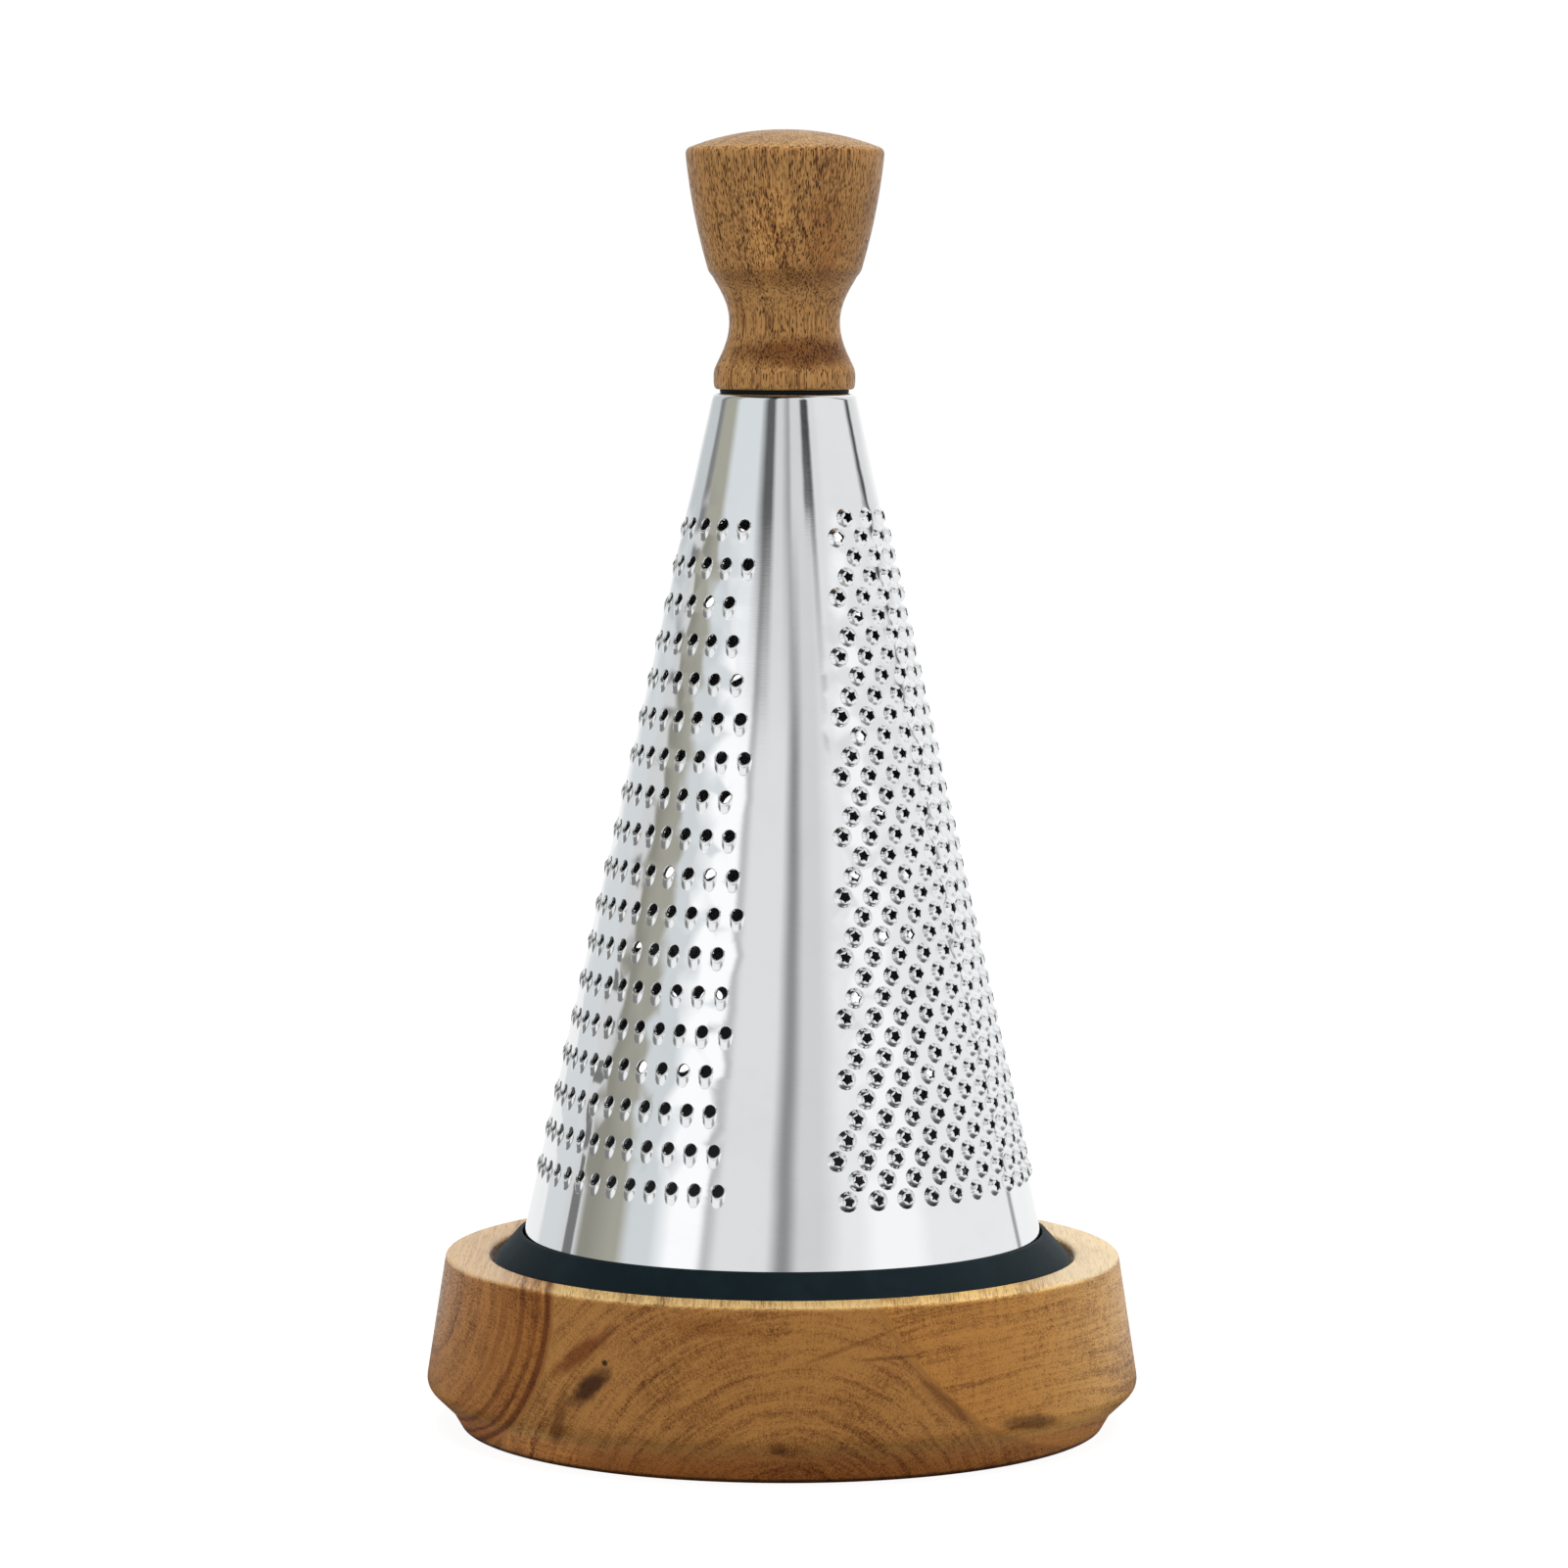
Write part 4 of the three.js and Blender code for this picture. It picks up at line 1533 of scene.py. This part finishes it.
    def build_shoulder(self, edge: list[int]) -> None:
        """Rounds the wall over into the flat top and its screw hole.

        Args:
            edge: The points along the wall's top.
        """
        wall = Vector((math.sin(self.lean), -math.cos(self.lean)))
        corner = Vector((self.top_radius, self.top_z))
        start, end = corner + wall * self.shoulder, corner - Vector((self.shoulder, 0))
        profile = []
        for k in range(1, self.shoulder_steps + 1):
            share = k / self.shoulder_steps
            along = (corner - start) * (1 - share) + (end - corner) * share
            profile.append((bent(start, corner, end, share), Vector((along.y, -along.x)).normalized()))
        for radius in (self.top_radius / 2, self.screw_hole):
            profile.append((Vector((radius, self.top_z)), Vector((0, 1))))
        angles = [math.atan2(self.outer[i].x, -self.outer[i].y) for i in edge]
        rows = [edge]
        for spot, out in profile:
            row = []
            for angle in angles:
                around = Vector((math.sin(angle), -math.cos(angle), 0))
                for store, depth in ((self.outer, 0.0), (self.inner, self.sheet)):
                    store.append(around * (spot.x - out.x * depth) + Vector((0, 0, spot.y - out.y * depth)))
                self.normals.append(Vector(ORIGIN))
                row.append(len(self.outer) - 1)
            rows.append(row)
        self.join_rows(rows)

    def build(self) -> Object:
        """Builds the whole sheet, with its thickness and the cut edges of its holes.

        Returns:
            The object, whose first material is the outside and second, darkened as painted shade, the inside
            and the torn rims.
        """
        self.build_shoulder(self.build_sheet())
        count = len(self.outer)
        open_edges: dict[tuple[int, int], None] = {}
        for face in self.faces:
            for a, b in zip(face, face[1:] + face[:1]):
                if (b, a) in open_edges:
                    del open_edges[(b, a)]
                else:
                    open_edges[(a, b)] = None
        inside = [tuple(i + count for i in reversed(face)) for face in self.faces]
        walls = [(b, a, a + count, b + count) for a, b in open_edges]
        piece = make_piece(
            "punched_cone", self.outer + self.inner, self.faces + inside + walls, self.sharp_deg
        )
        torn = [int(a in self.torn_rims) for a, _ in open_edges]
        slots = [0] * len(self.faces) + [1] * len(inside) + torn
        piece.data.polygons.foreach_set("material_index", slots)
        both = [tuple(n) for n in self.normals] + [tuple(-n) for n in self.normals]
        piece.data.normals_split_custom_set_from_vertices(both)
        return piece

    def dress(self, dresser: Dresser) -> None:
        """Builds the cone and dresses it, polished outside, and dull and darkened with painted shade inside.
        """
        finishes = (POLISHED_STEEL, DULL_STEEL_PAINTED_DARK)
        dresser.dress(self.build(), finishes, Body.GRATER, "grater_cone", Slot.STEEL)


# Turned and moulded pieces


@dataclass
class WoodenTray:
    """The tray: a turned dish with a flat rim, a chin and an undercut foot."""

    rim_width: float = 7.8
    wall_flare: float = 3.5
    chin_z: float = 7.3
    foot_inset: float = 4.4
    foot_z: float = 3.1
    foot_taper: float = 1.8
    recess_depth: float = 8.0
    ledge_width: float = 7.6
    bowl_floor: float = 9.0
    recess_gap: float = 0.8
    foot_round: float = 0.3
    undercut_round: float = 0.2
    chin_round: float = 1.5
    rim_round: float = 0.8
    recess_round: float = 1.1
    seat_round: float = 0.2
    ledge_round: float = 0.8
    bowl_round: float = 6.0
    sides: int = 180

    def build(self) -> Object:
        """Builds the tray round the rubber rim.

        Returns:
            The object.
        """
        height = span_mm("tray_base")[1].z
        recess = span_mm("rim_ring")[1].x + self.recess_gap
        rim = recess + self.rim_width
        chin = rim + self.wall_flare
        foot = chin - self.foot_inset
        bowl = recess - self.ledge_width
        seat = height - self.recess_depth
        outline = rounded([
            (0, 0),
            (foot - self.foot_taper, 0, self.foot_round),
            (foot, self.foot_z, self.undercut_round),
            (chin, self.chin_z, self.chin_round),
            (rim, height, self.rim_round),
            (recess, height, self.recess_round),
            (recess, seat, self.seat_round),
            (bowl, seat, self.ledge_round),
            (bowl, self.bowl_floor, self.bowl_round),
            (0, self.bowl_floor),
        ])
        return turned_piece("turned_tray", outline, self.sides, ring=False)

    def dress(self, dresser: Dresser) -> None:
        """Builds the tray and dresses it.

        Args:
            dresser: Gives it its wood and its place.
        """
        tray = self.build()
        # Mirrored wood would show as a brown spot in each rasp point, which the photograph doesn't have.
        tray.visible_glossy = False
        dresser.dress(tray, (TRAY_WOOD,), Body.TRAY, "tray_base", Slot.TRAY_WOOD)


@dataclass
class RubberRim:
    """The moulded rim: a lip on the cone, a sloping face, and a groove for the sheet's edge."""

    cone: GraterCone
    gap: float = 0.3
    lip: float = 0.7
    wall_height: float = 7.2
    floor: float = 2.0
    inner_height: float = 7.0
    inner_wall: float = 1.6
    wall_round: float = 0.8
    lip_round: float = 0.35
    lip_edge_round: float = 0.1
    groove_round: float = 0.3
    inner_round: float = 0.5
    inner_foot_round: float = 0.4
    sides: int = 180

    def build(self) -> Object:
        """Builds the rim.

        Returns:
            The object.
        """
        low, high = span_mm("rim_ring")
        across = self.cone.sheet / math.cos(self.cone.lean)
        groove, inner_top = low.z + self.floor, low.z + self.inner_height
        lip_inner = self.cone.radius(high.z) + self.gap
        inner_lip = self.cone.radius(inner_top) - across - self.gap
        outline = rounded([
            (inner_lip - self.inner_wall, low.z, self.inner_foot_round),
            (high.x, low.z, self.wall_round),
            (high.x, low.z + self.wall_height, self.wall_round),
            (lip_inner + self.lip, high.z, self.lip_round),
            (lip_inner, high.z, self.lip_edge_round),
            (self.cone.radius(groove) + self.gap, groove),
            (self.cone.radius(groove) - across - self.gap, groove),
            (inner_lip, inner_top, self.groove_round),
            (inner_lip - self.inner_wall, inner_top, self.inner_round),
        ])
        return turned_piece("moulded_rim", outline, self.sides, ring=True)

    def dress(self, dresser: Dresser) -> None:
        """Builds the rim and dresses it."""
        dresser.dress(self.build(), (BLACK_RUBBER,), Body.RIM, "rim_ring", Slot.RUBBER)


@dataclass
class WoodenKnob:
    """The knob: a foot bead, a waist and a flared grip with a domed top.

    The pulls are how far a curve follows the line that it leaves or meets: the waist's from the foot
    and to the neck as shares of its height, the shoulder's in its own roundings.
    """

    foot_radius: float = 12.3
    foot_height: float = 2.6
    foot_round: float = 0.9
    foot_rise: float = 0.6
    neck_radius: float = 9.6
    neck_height: float = 11.7
    waist_pull: Point2 = (0.2, 0.5)
    shoulder_radius: float = 13.3
    shoulder_height: float = 20.3
    shoulder_round: float = 1.1
    shoulder_pull: Point2 = (1.5, 2.2)
    shoulder_start: float = 0.7
    neck_pull: float = 0.4
    flare_bow: float = 0.9
    edge_round: float = 1.1
    dome: float = 3.2
    bore_depth: float = 17.0
    bore_gap: float = 0.3
    foot_steps: int = 8
    long_steps: int = 14
    shoulder_steps: int = 5
    edge_steps: int = 7
    sides: int = 144
    sharp_deg: float = 50.0

    def build(self) -> Object:
        """Builds the knob, with its bore from below.

        Returns:
            The object.
        """
        low, high = span_mm("knob")
        base, top = low.z, high.z
        bore, bore_top = span_mm("knob_insert")[1].x + self.bore_gap, base + self.bore_depth
        wide, long = self.foot_radius, self.long_steps
        foot = (wide, base + self.foot_height)
        neck = (self.neck_radius, base + self.neck_height)
        shoulder = (self.shoulder_radius, base + self.shoulder_height)
        edge = (high.x, top - self.dome)
        under = (wide - self.foot_round, base)
        outline = [(0.0, bore_top), (bore, bore_top), (bore, base), under]
        outline += bezier(under, (wide, base), (wide, base + self.foot_rise), foot, self.foot_steps)
        waist, rise = neck[1] - foot[1], shoulder[1] - neck[1]
        leave, meet = (waist * share for share in self.waist_pull)
        outline += bezier(foot, (wide, foot[1] + leave), (neck[0], neck[1] - meet), neck, long)
        curl = self.shoulder_round
        below = (shoulder[0] - self.shoulder_start * curl, shoulder[1] - self.shoulder_start * curl)
        pull = (shoulder[0] - self.shoulder_pull[0] * curl, shoulder[1] - self.shoulder_pull[1] * curl)
        outline += bezier(neck, (neck[0], neck[1] + rise * self.neck_pull), pull, below, long)
        brim = (edge[0], edge[1] - self.edge_round)
        share = curl / math.dist(shoulder, brim)
        above = tuple(a + (b - a) * share for a, b in zip(shoulder, brim))
        outline += arch(below, shoulder, above, self.shoulder_steps)
        bow = ((above[0] + brim[0]) / 2 + self.flare_bow, (above[1] + brim[1]) / 2)
        outline += arch(above, bow, brim, long)
        lid = (edge[0] - self.edge_round, edge[1] + self.edge_round / 4)
        outline += arch(brim, edge, lid, self.edge_steps)
        outline += arch(lid, (edge[0] / 2, top), (0.0, top), long)
        return turned_piece("turned_knob", outline, self.sides, ring=False, sharp_deg=self.sharp_deg)

    def dress(self, dresser: Dresser) -> None:
        """Builds the knob and dresses it."""
        dresser.dress(self.build(), (KNOB_WOOD,), Body.GRATER, "knob", Slot.KNOB_WOOD)


@dataclass
class KnobFastening:
    """The gasket under the knob, and the screw, washer and insert that hold it."""

    screw_radius: float = 2.5
    screw_gap: float = 0.3
    thread_depth: float = 0.35
    thread_pitch: float = 0.8
    thread_start: float = 1.5
    thread_ends: float = 2.0
    tip_taper: float = 0.3
    head_round: float = 1.4
    head_rim_round: float = 0.2
    slot_width: float = 1.1
    slot_length: float = 5.0
    slot_depth: float = 1.6
    gasket_round: float = 0.2
    gasket_steps: int = 3
    washer_round: float = 0.35
    washer_hole_round: float = 0.15
    washer_steps: int = 4
    grooves: int = 6
    groove_depth: float = 0.3
    groove_below: float = 0.35
    groove_above: float = 0.1
    gasket_sides: int = 96
    washer_sides: int = 72
    screw_sides: int = 48

    def gasket(self) -> Object:
        """Builds the thin black gasket.

        Returns:
            The object.
        """
        low, high = span_mm("knob_gasket")
        inner = span_mm("knob_insert")[1].x
        outline = rounded(
            [(inner, low.z), (high.x, low.z, self.gasket_round), (high.x, high.z, self.gasket_round),
             (inner, high.z)],
            self.gasket_steps,
        )
        return turned_piece("pressed_gasket", outline, self.gasket_sides, ring=True)

    def washer(self) -> Object:
        """Builds the washer, with its stamped edge rounded on one side.

        Returns:
            The object.
        """
        low, high = span_mm("screw_washer")
        inner = self.screw_radius + self.screw_gap
        outline = rounded(
            [(inner, low.z, self.washer_hole_round), (high.x, low.z, self.washer_round), (high.x, high.z),
             (inner, high.z)],
            self.washer_steps,
        )
        return turned_piece("stamped_washer", outline, self.washer_sides, ring=True)

    def insert(self) -> Object:
        """Builds the insert, grooved outside so that it grips the wood.

        Returns:
            The object.
        """
        low, high = span_mm("knob_insert")
        inner = self.screw_radius + self.screw_gap
        outline = [(inner, low.z), (high.x, low.z)]
        step = (high.z - low.z) / (self.grooves + 1)
        for k in range(1, self.grooves + 1):
            z = low.z + k * step
            outline += [(high.x, z - self.groove_below), (high.x - self.groove_depth, z)]
            outline.append((high.x, z + self.groove_above))
        outline += [(high.x, high.z), (inner, high.z)]
        return turned_piece("grooved_insert", outline, self.screw_sides, ring=True)

    def screw(self) -> Object:
        """Builds the screw: a pan head with a crossed slot, and a ringed shank for its thread.

        Returns:
            The object.
        """
        low, high = span_mm("knob_screw")
        shank, head_top = self.screw_radius, span_mm("screw_washer")[0].z
        outline = rounded([
            (0, low.z), (high.x, low.z, self.head_round), (high.x, head_top, self.head_rim_round)
        ])
        outline += [(shank, head_top)]
        turns = math.floor((high.z - head_top - self.thread_ends) / self.thread_pitch)
        for k in range(turns):
            z = head_top + self.thread_start + k * self.thread_pitch
            outline += [(shank, z), (shank - self.thread_depth, z + self.thread_pitch / 2)]
        outline += [(shank - self.tip_taper, high.z), (0, high.z)]
        screw = turned_piece("pan_head_screw", outline, self.screw_sides, ring=False)
        for turn in (0.0, math.pi / 2):
            self.cut_slot(screw, low.z, turn)
        return screw

    def cut_slot(self, screw: Object, head_z: float, turn: float) -> None:
        """Cuts one arm of the crossed slot.

        Args:
            screw: The screw.
            head_z: Height of the head's face.
            turn: The arm's angle.
        """
        sine, cosine = math.sin(turn), math.cos(turn)
        points = []
        for up in (-1, 1):
            for along, across in SQUARE:
                x, y = along * self.slot_length / 2, across * self.slot_width / 2
                z = head_z + up * self.slot_depth
                points.append(Vector((x * cosine - y * sine, x * sine + y * cosine, z)))
        faces = [(3, 2, 1, 0), (4, 5, 6, 7), (0, 1, 5, 4), (1, 2, 6, 5), (2, 3, 7, 6), (3, 0, 4, 7)]
        cutter = make_piece("slot_cutter", points, faces)
        cut = screw.modifiers.new("slot", "BOOLEAN")
        cut.operation = "DIFFERENCE"
        cut.solver = "EXACT"
        cut.object = cutter
        with bpy.context.temp_override(object=screw, active_object=screw):
            bpy.ops.object.modifier_apply(modifier=cut.name)
        bpy.data.objects.remove(cutter, do_unlink=True)

    def dress(self, dresser: Dresser) -> None:
        """Builds the four pieces and dresses them.

        Args:
            dresser: Gives them their finishes and their places.
        """
        dresser.dress(self.gasket(), (BLACK_RUBBER,), Body.GRATER, "knob_gasket", Slot.RUBBER)
        dresser.dress(self.insert(), (TURNED_BRASS,), Body.GRATER, "knob_insert", Slot.BRASS)
        dresser.dress(self.screw(), (FASTENER_STEEL,), Body.GRATER, "knob_screw", Slot.STEEL)
        dresser.dress(self.washer(), (FASTENER_STEEL,), Body.GRATER, "screw_washer", Slot.STEEL)


# The studio


@dataclass(frozen=True)
class SoftLamp:
    """A soft square lamp. Its place and size are in metres."""

    name: str
    place: Point3
    size: float
    watts: float


@dataclass(frozen=True)
class Card:
    """A strip of the room, from one bearing to another in degrees, as the steel mirrors it."""

    start: float
    end: float
    tone: float
    tint: Colour = (1.0, 1.0, 1.0, 1.0)

    def colour(self) -> Colour:
        """The card's linear colour."""
        return (*(self.tone * part for part in self.tint[:3]), 1.0)


@dataclass(frozen=True)
class Patch:
    """A darker part of the room between two bearings and two levels, in degrees, and its soft edges."""

    start: float
    end: float
    low: float
    high: float
    tone: float
    soft_turn: float
    soft_level: float = 0.4

    def mask(self, nodes: NodeTree, turn: Any, level: Any) -> NodeSocket:
        """1 within the patch and 0 beyond its soft edges.

        Args:
            nodes: The world's tree.
            turn: The bearing.
            level: The level.

        Returns:
            The mask.
        """
        mask: Any = 1.0
        sides = ((turn, self.start, self.end, self.soft_turn), (level, self.low, self.high, self.soft_level))
        for angle, low, high, soft in sides:
            mask = nodes.times(mask, nodes.ramp_deg(angle, (low - soft, low + soft)))
            mask = nodes.times(mask, nodes.ramp_deg(angle, (high - soft, high + soft), 1.0, 0.0))
        return mask


# Tints of the room's cards
WARM = (1.03, 1.0, 0.85, 1.0)
COOL = (0.95, 1.0, 1.02, 1.0)


@dataclass
class Studio:
    """A pale floor, a white room with darker cards for the steel to mirror, soft lamps and the camera.

    Places and distances are in metres. A level is the angle above what a level look at the cone's
    leaning wall mirrors at each bearing, so that one level shows at one height round the cone.
    """

    camera_place: Point3 = (-0.00012, -1.030, 0.1988)
    camera_pitch_deg: float = 85.194
    camera_roll_deg: float = -0.14
    camera_near: float = 0.01
    lens_mm: float = 136.04
    sensor_mm: float = 36.0
    floor_half: float = 6.0
    floor_tone: float = 0.4
    floor_seen_tone: float = 0.18
    floor_glow: float = 0.91
    floor_near: float = 0.072
    floor_far: float = 0.17
    floor_near_mirrored: float = 0.1
    floor_roughness: float = 0.9
    floor_specular: float = 0.1
    room_light: float = 0.4
    ceiling_deg: Point2 = (50.0, 62.0)
    ceiling_tone: float = 0.06
    ceiling_right_tone: float = 0.8
    ceiling_right_deg: Point2 = (70.0, 110.0)
    ceiling_left_lower: float = 10.0
    ceiling_left_deg: Point2 = (-20.0, 30.0)
    twice_lean_deg: float = 25.4
    turn_share: float = 0.49
    upper_deg: Point2 = (-4.6, -2.2)
    front_deg: Point2 = (45.0, 65.0)
    front_slant: float = 1.85
    front_slant_from_deg: float = 21.5
    side_deg: Point2 = (75.0, 100.0)
    side_slant: float = -1.05
    side_slant_from_deg: float = 8.0
    lamps: tuple[SoftLamp, ...] = (
        SoftLamp("lamp_above", (0.4, 0.3, 4.0), 3.5, 160.0),
        SoftLamp("lamp_left", (-1.3, -0.9, 0.7), 1.0, 7.5),
        SoftLamp("lamp_right", (1.3, -0.8, 0.7), 1.0, 6.4),
    )
    aim: Point3 = (0.0, 0.0, 0.1)
    lower_cards: tuple[Card, ...] = (
        Card(-180, -172, 1.0), Card(-146, -121, 0.76, COOL), Card(-117.5, -107, 0.72),
        Card(-103, -98, 0.3, WARM), Card(-84, -80, 0.4, WARM), Card(-74, -62, 0.74, COOL),
        Card(-42, -26, 1.12), Card(-23.5, -22, 0.55), Card(-18, 3, 0.83), Card(9, 12, 0.3),
        Card(17.5, 28, 0.72), Card(40, 48, 0.92), Card(58, 64, 1.05), Card(72, 121, 0.93),
        Card(122.4, 123.4, 0.3), Card(125, 180, 1.0),
    )
    upper_cards: tuple[Card, ...] = (
        Card(-180, -165, 0.85), Card(-150, -122, 0.64, COOL), Card(-117, -111, 0.25),
        Card(-104, -84, 0.42, WARM), Card(-74, -36, 0.8, COOL), Card(-24.5, -15.5, 0.12),
        Card(-10, -3, 0.72), Card(5, 7, 0.42), Card(11, 31, 0.74), Card(34.5, 36.5, 0.35),
        Card(40, 46, 0.8), Card(54, 115, 0.86), Card(121.5, 124, 0.08), Card(128, 133, 0.8),
        Card(170, 180, 1.0),
    )
    patches: tuple[Patch, ...] = (
        Patch(-114.5, -107.5, -12.0, -8.2, 0.2, soft_turn=0.6),
        Patch(26.0, 38.0, -2.25, 6.0, 0.07, soft_turn=3.0),
    )
    floor_cards: tuple[Card, ...] = (
        Card(-180, -140, 0.92), Card(-125, -78, 0.22), Card(-62, -18, 0.95), Card(-6, 16, 0.4),
        Card(28, 180, 0.95),
    )

    def build(self) -> None:
        """Sets the view, and builds the floor, the room, the lamps and the camera."""
        bpy.context.scene.view_settings.view_transform = "Standard"
        self.build_floor()
        self.build_room()
        for lamp in self.lamps:
            self.build_lamp(lamp)
        self.build_camera()

    def build_floor(self) -> None:
        """Builds the floor, which stays white to the eye and keeps the object's contact shadow, and shows
        what mirrors it only a painted glow.
        """
        half = self.floor_half / MM
        corners = [Vector((x * half, y * half, 0)) for x, y in SQUARE]
        floor = make_piece("pale_floor", corners, [(0, 1, 2, 3)])
        material, nodes, shader = new_material("floor_paper")
        shader.inputs["Roughness"].default_value = self.floor_roughness
        shader.inputs["Specular IOR Level"].default_value = self.floor_specular
        rays = nodes.node("ShaderNodeLightPath").outputs
        seen, glossy = rays["Is Camera Ray"], rays["Is Glossy Ray"]
        place = nodes.node("ShaderNodeTexCoord").outputs["Object"]
        x, y, _ = nodes.split(place)
        # Painted reflection: mirrored rays see a glow instead of the floor's colour, dark near the object as
        # painted shade and in the floor cards' strips beyond.
        away = nodes.ramp(nodes.length(place), self.floor_near, self.floor_far)
        cards = self.card_ramp(nodes, nodes.bearing(x, y), self.floor_cards)
        mirrored = nodes.mix(away, grey(self.floor_near_mirrored), cards)
        tone = nodes.mix(seen, grey(self.floor_tone), grey(self.floor_seen_tone))
        nodes.wire(shader, Base_Color=nodes.mix(glossy, tone, grey(0.0)))
        shown = nodes.mix(glossy, nodes.mix(seen, grey(0.0), grey(self.floor_glow)), mirrored)
        glow = nodes.node("ShaderNodeEmission", {"Color": shown, "Strength": 1.0})
        both = nodes.node("ShaderNodeAddShader", {0: shader.outputs[0], 1: glow.outputs[0]})
        nodes.wire(material.node_tree.nodes["Material Output"], Surface=both.outputs[0])
        floor.data.materials.append(material)

    def build_room(self) -> None:
        """Lights from all round, shows white to the camera and the cards to what mirrors them."""
        world = bpy.data.worlds.new("studio_room")
        bpy.context.scene.world = world
        world.use_nodes = True
        nodes = NodeTree(world.node_tree)
        x, y, z = nodes.split(nodes.node("ShaderNodeTexCoord").outputs["Generated"])
        turn = nodes.bearing(x, y)
        rise = nodes.math("ARCSINE", z)
        at_front = nodes.ramp_deg(nodes.math("ABSOLUTE", turn), self.front_deg, 1.0, 0.0)
        at_side = nodes.ramp_deg(turn, self.side_deg)
        turn = self.leaning(nodes, turn, rise, at_side, self.side_slant, self.side_slant_from_deg)
        cards = self.mirrored_cards(nodes, turn, rise, at_front)
        lower = nodes.ramp_deg(turn, self.ceiling_left_deg, math.radians(self.ceiling_left_lower), 0.0)
        tone = nodes.ramp_deg(turn, self.ceiling_right_deg, self.ceiling_tone, self.ceiling_right_tone)
        ceiling = nodes.ramp_deg(nodes.math("ADD", rise, lower), self.ceiling_deg)
        dimmed = nodes.math("MULTIPLY_ADD", ceiling, nodes.math("SUBTRACT", tone, 1.0), 1.0)
        rays = nodes.node("ShaderNodeLightPath").outputs
        seen = nodes.math("MAXIMUM", rays["Is Camera Ray"], rays["Is Transmission Ray"])
        light, mirrored, white = (
            nodes.node("ShaderNodeBackground", {"Color": colour, "Strength": strength}).outputs[0]
            for colour, strength in ((grey(1.0), self.room_light), (cards, dimmed), (grey(1.0), 1.0))
        )
        inner = nodes.node("ShaderNodeMixShader", {0: rays["Is Glossy Ray"], 1: light, 2: mirrored})
        outer = nodes.node("ShaderNodeMixShader", {0: seen, 1: inner.outputs[0], 2: white})
        nodes.wire(world.node_tree.nodes["World Output"], Surface=outer.outputs[0])

    def mirrored_cards(self, nodes: NodeTree, turn: Any, rise: Any, at_front: Any) -> NodeSocket:
        """The lower cards, the upper cards above them and the patches over both.

        Args:
            nodes: The world's tree.
            turn: The bearing.
            rise: The angle above level.
            at_front: How much of the front cards' lean holds at the bearing.

        Returns:
            The colour in each direction.
        """
        leaned = self.leaning(nodes, turn, rise, at_front, self.front_slant, self.front_slant_from_deg)
        even = nodes.times(nodes.math("COSINE", nodes.times(turn, self.turn_share)), -1.0)
        level = nodes.math("MULTIPLY_ADD", even, math.radians(self.twice_lean_deg), rise)
        cards = nodes.mix(
            nodes.ramp_deg(level, self.upper_deg),
            self.card_ramp(nodes, leaned, self.lower_cards),
            self.card_ramp(nodes, turn, self.upper_cards),
        )
        for patch in self.patches:
            cards = nodes.mix(patch.mask(nodes, turn, level), cards, grey(patch.tone))
        return cards

    @staticmethod
    def leaning(nodes: NodeTree, turn: Any, rise: Any, part: Any, slant: float, from_deg: float) -> Any:
        """A bearing changed so that upright cards lean.

        Args:
            nodes: The world's tree.
            turn: The bearing.
            rise: The angle above level.
            part: How much of the lean holds at the bearing.
            slant: How far a card leans over for each degree that it rises.
            from_deg: The rise at which a card keeps its bearing.

        Returns:
            The changed bearing.
        """
        lean = nodes.times(nodes.math("SUBTRACT", rise, math.radians(from_deg)), slant)
        return nodes.math("SUBTRACT", turn, nodes.times(lean, part))

    @staticmethod
    def card_ramp(nodes: NodeTree, turn: Any, cards: Sequence[Card]) -> NodeSocket:
        """The cards' colours round the room, blended from each card to the next.

        Args:
            nodes: The tree.
            turn: The bearing.
            cards: The cards, from the left round to the right.

        Returns:
            The colour at the bearing.
        """
        share = nodes.math("ADD", nodes.math("DIVIDE", turn, math.tau), 0.5)
        ramp = nodes.node("ShaderNodeValToRGB", {0: share})
        stops = ramp.color_ramp.elements
        while len(stops) < 2 * len(cards):
            stops.new(0.5)
        for k, card in enumerate(cards):
            for stop, bearing in ((stops[2 * k], card.start), (stops[2 * k + 1], card.end)):
                stop.position = bearing / FULL_TURN_DEG + 0.5
                stop.color = card.colour()
        return ramp.outputs["Color"]

    def build_lamp(self, lamp: SoftLamp) -> None:
        """Builds one lamp, which the steel doesn't mirror.

        Args:
            lamp: Its place, size and power.
        """
        data = bpy.data.lights.new(lamp.name, "AREA")
        data.shape = "SQUARE"
        data.size = lamp.size
        data.energy = lamp.watts
        made = bpy.data.objects.new(lamp.name, data)
        made.location = lamp.place
        made.rotation_euler = (Vector(self.aim) - Vector(lamp.place)).to_track_quat("-Z", "Y").to_euler()
        made.visible_glossy = False
        made.visible_camera = False
        bpy.context.scene.collection.objects.link(made)

    def build_camera(self) -> None:
        """Builds the camera at the photograph's place."""
        data = bpy.data.cameras.new("photo_camera")
        data.lens = self.lens_mm
        data.sensor_width = self.sensor_mm
        data.sensor_fit = "HORIZONTAL"
        data.clip_start = self.camera_near
        made = bpy.data.objects.new("photo_camera", data)
        made.location = self.camera_place
        made.rotation_euler = (math.radians(self.camera_pitch_deg), math.radians(self.camera_roll_deg), 0)
        bpy.context.scene.collection.objects.link(made)
        bpy.context.scene.camera = made


def main() -> None:
    """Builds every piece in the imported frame, dresses it and sets up the studio."""
    logging.basicConfig(level=logging.INFO, format="%(name)s: %(message)s")
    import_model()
    Studio().build()
    dresser = Dresser()
    low, high = span_mm("grater_cone")
    cone = GraterCone(foot_z=low.z, top_z=high.z, foot_radius=high.x, rim_top_z=span_mm("rim_ring")[1].z)
    for assembly in (cone, RubberRim(cone), WoodenTray(), WoodenKnob(), KnobFastening()):
        assembly.dress(dresser)
    bpy.context.view_layer.update()


if __name__ == "__main__":
    main()
